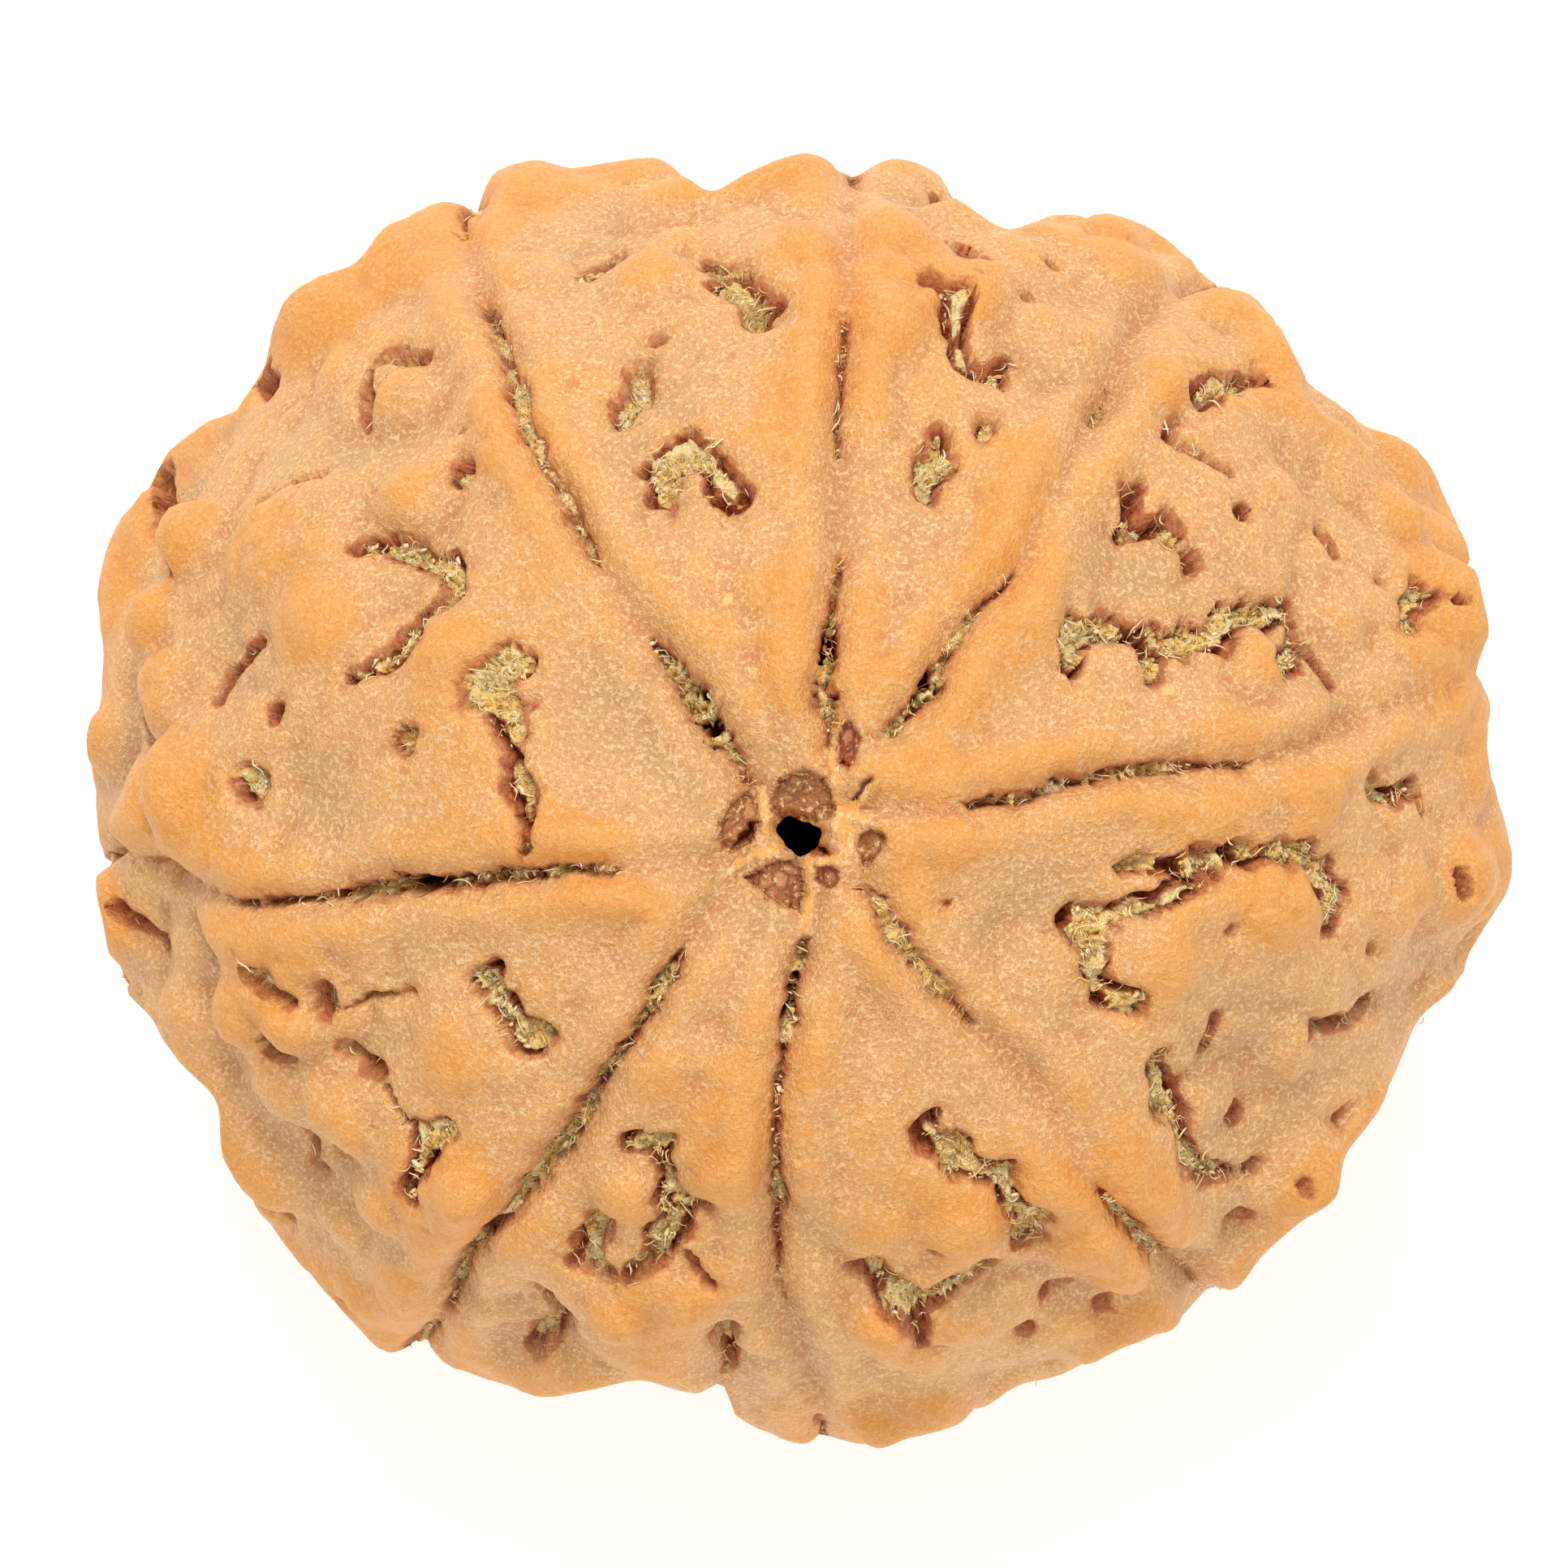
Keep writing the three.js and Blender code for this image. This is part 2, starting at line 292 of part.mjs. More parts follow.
// The side and the underside are not seen from above, so their knobs and pits are strewn.
const strew = dice(88);
for (let tries = 0, placed = 0; tries < 4000 && placed < 230; tries++) {
  const turn = strew() * 2 * Math.PI;
  const level = -0.93 + strew() * 1.28;
  const flat = Math.sqrt(1 - level * level);
  const at = onBody(flat * Math.cos(turn), flat * Math.sin(turn), level);
  const wide = 0.65 + strew() * 0.5;
  const high = (0.4 + strew() * 0.4) * (1 - 0.2 * bell(at.z / 2.5));
  const crowded = knobSpots.some((knob) => knob.at.distanceTo(at) < (knob.wide + wide) * 0.82);
  const onCleft = cleftRoutes.some((route) => nearest(at, route).away < 0.75);
  if (crowded || onCleft) continue;
  knobSpots.push({ at, wide, high });
  placed++;
}
for (let tries = 0, placed = 0; tries < 3000 && placed < 58; tries++) {
  const turn = strew() * 2 * Math.PI;
  const level = -0.9 + strew() * 1.12;
  const heading = strew() * 2 * Math.PI;
  const wide = 0.16 + strew() * 0.14;
  const flat = Math.sqrt(1 - level * level);
  const route = [];
  for (let step = 0; step < 3; step++) {
    const shift = step * 0.055;
    const bend = heading + (step - 1) * (strew() - 0.5) * 2;
    const at = onBody(
      flat * Math.cos(turn + shift * Math.cos(bend)),
      flat * Math.sin(turn + shift * Math.cos(bend)),
      level + shift * Math.sin(bend));
    route.push({ at, wide, deep: 0.5 + wide });
  }
  const clear = (other) => nearest(route[0].at, other).away > 1.1 && nearest(route[2].at, other).away > 1.1;
  if (!cleftRoutes.every(clear) || !pitRoutes.every(clear)) continue;
  pitRoutes.push(route);
  placed++;
}

// Slow swells of the whole surface.
const roll = dice(21);
const swells = Array.from({ length: 10 }, () => {
  const turn = roll() * 2 * Math.PI;
  const level = roll() * 2 - 1;
  const flat = Math.sqrt(1 - level * level);
  const across = 2.6 + roll() * 2.6;
  const pull = new THREE.Vector3(flat * Math.cos(turn), flat * Math.sin(turn), level);
  return { pull: pull.multiplyScalar(2 * Math.PI / across), start: roll() * 6.283, high: 0.02 * across };
});

// The outline at the belt, as a radius for every direction, rounded through its knots.
const rimTurns = rim.map(([x, y]) => ({ turn: Math.atan2(y, x), radius: Math.hypot(x, y) }))
  .sort((a, b) => a.turn - b.turn);
function rimRadius(turn) {
  const count = rimTurns.length;
  const after = rimTurns.findIndex((knot) => knot.turn > turn);
  const knot = (k) => rimTurns[(Math.max(after, 0) + k + count) % count];
  const [a, b, c, d] = [-2, -1, 0, 1].map((k) => knot(k).radius);
  const full = 2 * Math.PI;
  const gap = (knot(0).turn - knot(-1).turn + full) % full;
  const t = ((turn - knot(-1).turn + full) % full) / gap;
  return b + 0.5 * t * (c - a + t * (2 * a - 5 * b + 4 * c - d + t * (3 * (b - c) + d - a)));
}

// Height of the surface over the plain body, before furrows are cut.
function raised(p, cleft) {
  let height = 0;
  for (const { pull, start, high } of swells) height += high * Math.sin(pull.dot(p) + start);
  for (const { at, wide, high } of knobSpots) {
    const away = p.distanceTo(at) / wide;
    if (away < 2.2) height += high * bell(away * away * 0.8 + away * 0.2);
  }
  const ripple = 0.75 + 0.25 * Math.sin(1.9 * p.x + 2.3 * p.y + 1.1 * p.z);
  height += lipHeight * ripple * bell((cleft.away - lipOffset) / lipSpread);
  height -= 0.12 * bell(cleft.away / 0.3);
  const mouth = Math.hypot(p.x - channelAt[0], p.y - channelAt[1]);
  height -= dimpleDepth * bell(mouth / 1.9) + beltSink * bell(p.z / 4.5);
  return height * smooth(-halfHeight + footTrim, -halfHeight + footTrim + 0.9, p.z);
}

// Along a wavy belt the outline takes over from the relief: how far out it lies, and how much
// it counts.
function rimKnob(p) {
  const turn = Math.atan2(p.y, p.x);
  const extra = rimRadius(turn) - Math.hypot(p.x, p.y);
  const middle = 1.3 * Math.sin(3 * turn + 1) + 0.9 * Math.sin(8 * turn + 2);
  return { extra, share: bell((p.z - middle) / (extra > 0 ? beltHeight : 2 * beltHeight)) };
}

// How deep a furrow is cut at a point.
function cutAt(p) {
  let cut = 0;
  const dig = (near, steep) => {
    const wide = Math.max(near.wide, narrowest);
    cut = Math.max(cut, near.deep * (1 - smooth(steep, 0.98, near.away / wide)));
  };
  for (const route of cleftRoutes) dig(nearest(p, route), 0.3);
  for (const route of pitRoutes) dig(nearest(p, route), 0.55);
  for (const route of windowRoutes) dig(nearest(p, route), 0.6);
  return cut * smooth(-halfHeight + footTrim, -halfHeight + 1.2, p.z);
}

function nearestCleft(p) {
  return cleftRoutes.map((route) => nearest(p, route)).reduce((a, b) => (a.away < b.away ? a : b));
}

function displaced(p) {
  const { extra, share } = rimKnob(p);
  const height = raised(p, nearestCleft(p)) * (1 - share) - cutAt(p);
  const side = new THREE.Vector3(p.x, p.y, 0).normalize();
  const end = p.clone().addScaledVector(outward(p), height).addScaledVector(side, extra * share);
  const past = Math.hypot(end.x, end.y) - rimRadius(Math.atan2(end.y, end.x));
  return past > 0 ? end.addScaledVector(side, -past * (1 - spill)) : end;
}

// Stations along a route, about one stride apart.
function stations(route, stride) {
  if (route.length === 1) {
    const ahead = new THREE.Vector3(0.3, 1, 0).cross(outward(route[0].at)).normalize();
    return [{ ...route[0], ahead }];
  }
  return route.slice(1).flatMap((b, i) => {
    const a = route[i];
    const count = Math.max(1, Math.round(a.at.distanceTo(b.at) / stride));
    const ahead = b.at.clone().sub(a.at).normalize();
    return Array.from({ length: i ? count : count + 1 }, (_, k) => {
      const t = (i ? k + 1 : k) / count;
      return {
        at: a.at.clone().lerp(b.at, t),
        wide: a.wide + (b.wide - a.wide) * t,
        deep: a.deep + (b.deep - a.deep) * t,
        ahead,
      };
    });
  });
}

// Corners are set where the relief turns: floors and edges of furrows, crests of welts, then
// an even strewing over what is left.
const spots = [];
function place(p, gap) {
  const at = onBody(p.x, p.y, p.z);
  if (spots.every((spot) => spot.distanceTo(at) > gap)) spots.push(at);
}
const insideFurrow = (p) => furrows.some((route) => {
  const near = nearest(p, route);
  return near.away < 0.8 * Math.max(near.wide, narrowest);
});

function placeFurrow(route, stride) {
  const rows = stations(route, stride).map((station) => ({
    ...station,
    half: Math.max(station.wide, narrowest),
    sideways: station.ahead.clone().cross(outward(station.at)).normalize(),
  }));
  for (const { at, half, sideways } of rows) {
    if (half < broad) place(at, 0.11);
    else for (const side of [-0.5, 0.5]) place(at.clone().addScaledVector(sideways, side * half), 0.14);
  }
  return rows;
}
function placeEdges(rows, rounded) {
  const tryEdge = (p) => { if (!insideFurrow(p)) place(p, 0.13); };
  for (const { at, half, sideways } of rows) {
    for (const side of [-half, half]) tryEdge(at.clone().addScaledVector(sideways, side));
  }
  if (!rounded) return;
  for (const [row, sign] of [[rows[0], -1], [rows[rows.length - 1], 1]]) {
    for (const turn of [-0.7, 0, 0.7]) {
      tryEdge(row.at.clone()
        .addScaledVector(row.ahead, sign * Math.cos(turn) * row.half)
        .addScaledVector(row.sideways, Math.sin(turn) * row.half));
    }
  }
}

const furrows = [...cleftRoutes, ...pitRoutes];
const cleftRows = cleftRoutes.map((route) => placeFurrow(route, cleftStride));
const pitRows = pitRoutes.map((route) => placeFurrow(route, pitStride));
cleftRows.forEach((rows) => placeEdges(rows, false));
pitRows.forEach((rows) => placeEdges(rows, true));
windowRoutes.forEach((route) => placeEdges(placeFurrow(route, pitStride), true));
for (const rows of cleftRows) {
  rows.forEach(({ at, sideways }, i) => {
    if (i % 2) return;
    for (const side of [-lipOffset, lipOffset]) place(at.clone().addScaledVector(sideways, side), 0.3);
  });
}
for (const { at } of knobSpots) place(at, 0.35);
for (let i = 0; i < fieldSpots; i++) {
  const level = 1 - (2 * i + 1) / fieldSpots;
  const flat = Math.sqrt(1 - level * level);
  const turn = i * Math.PI * (3 - Math.sqrt(5));
  place(new THREE.Vector3(flat * Math.cos(turn), flat * Math.sin(turn), level), 0.5);
}

function corners(geometry, tolerance) {
  const bare = new THREE.BufferGeometry();
  bare.setAttribute('position', geometry.getAttribute('position'));
  if (geometry.index) bare.setIndex(geometry.index);
  return mergeVertices(bare, tolerance);
}

// Facets join neighbouring corners: the hull of their directions gives them.
const net = corners(new ConvexGeometry(spots.map((p) => p.clone().normalize())), 1e-6);
const netSpots = net.getAttribute('position');
const points = Array.from({ length: netSpots.count }, (_, i) => (
  displaced(onBody(netSpots.getX(i), netSpots.getY(i), netSpots.getZ(i)))));

const body = new THREE.BufferGeometry();
body.setAttribute('position', new THREE.Float32BufferAttribute(points.flatMap((p) => p.toArray()), 3));
body.setIndex(net.index);

const wasm = await Module();
wasm.setup();
function solid(geometry) {
  const merged = corners(geometry, 1e-4);
  return new wasm.Manifold(new wasm.Mesh({
    numProp: 3,
    vertProperties: new Float32Array(merged.getAttribute('position').array),
    triVerts: new Uint32Array(merged.index.array),
  }));
}

// The channel runs through both poles and flares at its mouths.
const channelProfile = [
  [0, -12], [mouthRadius, -12], [mouthRadius, -9.6], [channelRadius, -8.6], [channelRadius * 0.85, 0],
  [channelRadius, 8.3], [mouthRadius, 9.4], [mouthRadius, 12], [0, 12],
].map(([radius, height]) => new THREE.Vector2(radius, height));
const channel = new THREE.LatheGeometry(channelProfile, 9)
  .rotateX(Math.PI / 2)
  .translate(channelAt[0], channelAt[1], 0);
const ground = new THREE.BoxGeometry(30, 30, 4).translate(0, 0, -halfHeight + footTrim - 2);

const trimmed = solid(body).subtract(solid(channel)).subtract(solid(ground)).getMesh();
const stoneGeometry = new THREE.BufferGeometry();
stoneGeometry.setAttribute('position', new THREE.BufferAttribute(new Float32Array(trimmed.vertProperties), 3));
stoneGeometry.setIndex(Array.from(trimmed.triVerts));
stoneGeometry.translate(0, 0, halfHeight - footTrim);
stoneGeometry.computeVertexNormals();

const stoneMaterial = new THREE.MeshStandardMaterial({ color: 0xe0a468, roughness: 0.62, metalness: 0 });
const stone = new THREE.Mesh(stoneGeometry, stoneMaterial);
stone.name = 'stone';

const rudraksha = new THREE.Group();
rudraksha.name = 'rudraksha';
rudraksha.add(stone);
export default rudraksha;
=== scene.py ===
import math
import random
import bpy
import bmesh
import numpy as np
from mathutils import Matrix, Vector, noise


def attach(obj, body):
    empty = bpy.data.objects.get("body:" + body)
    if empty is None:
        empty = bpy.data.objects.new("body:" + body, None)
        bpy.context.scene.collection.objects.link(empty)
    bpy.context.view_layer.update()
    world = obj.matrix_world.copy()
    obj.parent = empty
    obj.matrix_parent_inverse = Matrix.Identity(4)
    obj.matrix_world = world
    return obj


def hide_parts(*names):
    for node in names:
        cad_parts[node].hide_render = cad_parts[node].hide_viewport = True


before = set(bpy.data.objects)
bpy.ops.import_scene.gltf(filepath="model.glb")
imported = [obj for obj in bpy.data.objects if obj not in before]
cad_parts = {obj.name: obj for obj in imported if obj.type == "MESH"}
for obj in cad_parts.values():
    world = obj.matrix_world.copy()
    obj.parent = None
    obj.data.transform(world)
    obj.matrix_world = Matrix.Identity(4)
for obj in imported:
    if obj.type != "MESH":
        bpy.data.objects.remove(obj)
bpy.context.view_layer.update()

# Rudraksha stone with eight clefts, standing on its lower pole with the stem end up.
# Shapes are worked out in millimetres round the middle of the stone and written in metres.

stone = {
    "halfLength": 11.95,       # plain body, before knobs
    "halfWidth": 10.8,
    "halfHeight": 10.2,
    "fullness": 2.25,          # 2 is an ellipsoid, more is boxier
    "footTrim": 0.2,           # worn flat at the lower pole
    "channelAt": (0, -0.63),
    "channelRadius": 0.34,
    "lipHeight": 0.26,         # welts beside the clefts
    "lipOffset": 0.55,
    "lipSpread": 0.4,
    "beltHeight": 1.3,         # reach of a rim knob up and down
    "beltSink": 0.3,           # how much lower the relief lies beside the belt
    "dimpleDepth": 0.35,
    "cleftSink": 0.12,         # how much the surface sinks along a cleft
    "footRise": (0.9, 1.0),    # height over which welts and furrows set in above the foot
    "lumps": 0.35,             # strength of the small lumps near the rim and on the sides
    "edgeTop": 0.27,           # longest facet edges, upper side
    "edgeBeside": 0.15,        # close to a furrow
    "edgeWall": 0.085,         # on furrow walls
    "edgeFloor": 0.066,        # on the pulp inside furrows
    "edgeCentre": 0.05,        # round the mouth of the channel
    "edgeRing": 0.07,          # on the edge of the channel itself
    "edgeSide": 0.5,           # below the belt
    "edgeSidePit": 0.3,        # beside furrows below the belt
    "upperSide": -1.5,         # how far down the upper side's fine facets reach
    "snap": 0.052,             # corners this close to a furrow's line move onto it
    "splitRounds": 6,
}
footLevel = stone["footTrim"] - stone["halfHeight"]

furrow = {
    "swell": 0.75,             # how much the width grows and shrinks along the way
    "waver": (0.07, 0.03),     # how far the edges sway, broad and close sways
    "wall": 0.09,              # widest wall seen from above
    "wallShare": 0.55,         # or this share of the half width
    "edge": 0.02,              # where the wall starts, outside the half width
    "reach": 0.6,              # nothing changes farther away than this
    "fullest": 0.86,           # share of the depth that pulp fills at most
    "bareShare": 0.5,          # the pulp bares at most this share of a pit's half width
    "bareInClefts": 0.1,
}

strewn = {                     # knobs and pits of the side and the underside
    "seed": 88,
    "knobs": 230,
    "pits": 58,
    "tries": (4000, 3000),
    "knobLevel": (-0.93, 1.28),    # pairs are the least, and how much chance adds
    "knobWide": (0.65, 0.5),
    "knobHigh": (0.4, 0.4),
    "pitLevel": (-0.9, 1.12),
    "pitWide": (0.16, 0.14),
    "crowding": 0.82,          # share of two knobs' radii that keeps them apart
    "cleftGap": 0.75,          # from a knob's middle to a cleft
    "pitGap": 1.1,             # from a pit's ends to any other furrow
}

swelling = {"seed": 21, "count": 10, "share": 0.02}   # broad waves of the whole surface

# Clefts from the stem end out to the rim: x, y, half width, depth, seen from above.
clefts = [
    [[-1.19, -1.09, 0.04, 0.08], [-2.94, -1.16, 0.04, 0.08], [-3.18, -1.16, 0.11, 0.45],
    [-3.78, -1.15, 0.14, 0.7], [-4.55, -1.26, 0.14, 0.75], [-5.39, -1.37, 0.14, 0.8],
    [-6.09, -1.4, 0.17, 0.95], [-6.79, -1.44, 0.18, 1.05], [-7.49, -1.58, 0.17, 0.95],
    [-8.19, -1.72, 0.11, 0.65], [-9.42, -1.75, 0.08, 0.4], [-9.59, -1.72, 0.04, 0.1],
    [-10.36, -1.4, 0.06, 0.12], [-10.99, -1.05, 0.07, 0.15], [-12.1, -0.77, 0.13, 0.35]],
    [[-1.05, -1.33, 0.04, 0.08], [-1.96, -2.52, 0.06, 0.1], [-2.09, -2.7, 0.17, 0.8],
    [-2.45, -3.36, 0.18, 0.9], [-2.8, -4.06, 0.17, 0.75], [-3.29, -4.62, 0.15, 0.75],
    [-3.64, -5.39, 0.17, 0.85], [-4.06, -5.95, 0.17, 0.9], [-4.48, -6.44, 0.17, 0.9],
    [-4.9, -7, 0.14, 0.75], [-5.32, -7.38, 0.15, 0.85], [-5.67, -7.77, 0.17, 0.95],
    [-5.88, -8.26, 0.15, 0.8], [-5.99, -8.65, 0.11, 0.5], [-6.12, -8.82, 0.06, 0.12],
    [-6.48, -9.37, 0.14, 0.4]],
    [[0.14, -1.47, 0.04, 0.08], [0.07, -2.34, 0.06, 0.1], [0.03, -2.56, 0.15, 0.7],
    [-0.07, -3.01, 0.18, 1], [-0.14, -3.57, 0.17, 1], [-0.2, -3.99, 0.13, 0.7],
    [-0.28, -4.3, 0.07, 0.4], [-0.39, -5.11, 0.07, 0.35], [-0.42, -5.81, 0.1, 0.4],
    [-0.39, -6.44, 0.14, 0.75], [-0.35, -7, 0.15, 0.85], [-0.38, -7.35, 0.08, 0.4],
    [-0.35, -8.33, 0.06, 0.25], [-0.24, -8.89, 0.06, 0.12], [0.21, -10.01, 0.06, 0.1],
    [0.42, -11.02, 0.11, 0.35]],
    [[1.12, -1.4, 0.06, 0.12], [1.33, -1.75, 0.17, 0.45], [1.54, -2.17, 0.2, 0.55],
    [1.96, -2.73, 0.21, 0.6], [2.38, -3.19, 0.18, 0.55], [2.87, -3.75, 0.1, 0.4],
    [3.04, -3.93, 0.04, 0.08], [3.92, -4.69, 0.06, 0.08], [4.9, -6.37, 0.06, 0.08],
    [5.08, -6.58, 0.13, 0.6], [5.53, -7.07, 0.15, 0.75], [5.95, -7.63, 0.17, 0.8],
    [6.34, -7.88, 0.13, 0.55], [6.51, -8.08, 0.06, 0.12], [6.99, -8.5, 0.13, 0.4]],
    [[0.77, -0.14, 0.04, 0.08], [1.89, -0.18, 0.04, 0.08], [2.73, -0.13, 0.06, 0.1],
    [2.94, -0.11, 0.13, 0.6], [3.64, 0, 0.17, 0.8], [4.41, 0.24, 0.14, 0.7], [5.39, 0.49, 0.14, 0.7],
    [5.95, 0.49, 0.15, 0.8], [6.51, 0.56, 0.11, 0.5], [7.42, 0.59, 0.07, 0.3],
    [7.77, 0.63, 0.04, 0.08], [8.61, 0.91, 0.06, 0.08], [10.01, 1.61, 0.06, 0.1],
    [11.69, 2.31, 0.13, 0.35]],
    [[1.36, 1.08, 0.08, 0.2], [1.61, 1.22, 0.15, 0.7], [1.85, 1.47, 0.17, 0.8],
    [2.24, 1.96, 0.21, 1.05], [2.49, 2.52, 0.13, 0.55], [2.87, 3.08, 0.11, 0.45],
    [3.29, 3.43, 0.11, 0.45], [3.54, 3.74, 0.08, 0.3], [3.65, 3.92, 0.04, 0.08],
    [4.34, 5.32, 0.04, 0.07], [4.97, 6.37, 0.04, 0.08], [5.14, 6.68, 0.11, 0.3], [5.31, 6.9, 0.1, 0.3],
    [5.46, 7.21, 0.04, 0.08], [5.81, 8.26, 0.06, 0.1], [7.07, 9.06, 0.13, 0.35]],
    [[0.57, 0.77, 0.08, 0.2], [0.55, 1.12, 0.15, 0.6], [0.49, 1.4, 0.2, 0.85], [0.38, 1.89, 0.2, 1.05],
    [0.46, 2.59, 0.2, 1.05], [0.55, 3.22, 0.18, 0.95], [0.63, 3.64, 0.15, 0.8], [0.71, 4, 0.1, 0.45],
    [0.73, 4.24, 0.04, 0.07], [0.67, 5.78, 0.04, 0.07], [0.67, 5.99, 0.1, 0.45],
    [0.67, 6.65, 0.11, 0.6], [0.71, 7.35, 0.11, 0.55], [0.77, 7.88, 0.08, 0.4],
    [0.8, 8.11, 0.04, 0.07], [0.84, 9.31, 0.04, 0.08], [0.91, 10.88, 0.13, 0.35]],
    [[-0.84, 0.21, 0.06, 0.2], [-1.12, 0.77, 0.2, 0.7], [-1.44, 1.26, 0.28, 1],
    [-1.72, 1.64, 0.28, 1.05], [-2.03, 2.1, 0.21, 0.95], [-2.38, 2.55, 0.15, 0.75],
    [-2.58, 2.79, 0.06, 0.12], [-3.37, 4.03, 0.06, 0.1], [-3.5, 4.23, 0.11, 0.5],
    [-3.74, 4.69, 0.13, 0.65], [-4.13, 5.39, 0.14, 0.7], [-4.44, 5.92, 0.15, 0.75],
    [-4.62, 6.44, 0.24, 0.75], [-4.76, 6.93, 0.17, 0.75], [-4.94, 7.49, 0.15, 0.75],
    [-5.11, 7.98, 0.14, 0.7], [-5.35, 8.47, 0.1, 0.4], [-5.43, 8.69, 0.04, 0.08],
    [-5.53, 9.31, 0.04, 0.1], [-5.6, 9.87, 0.11, 0.4], [-5.6, 10.29, 0.13, 0.35]],
]

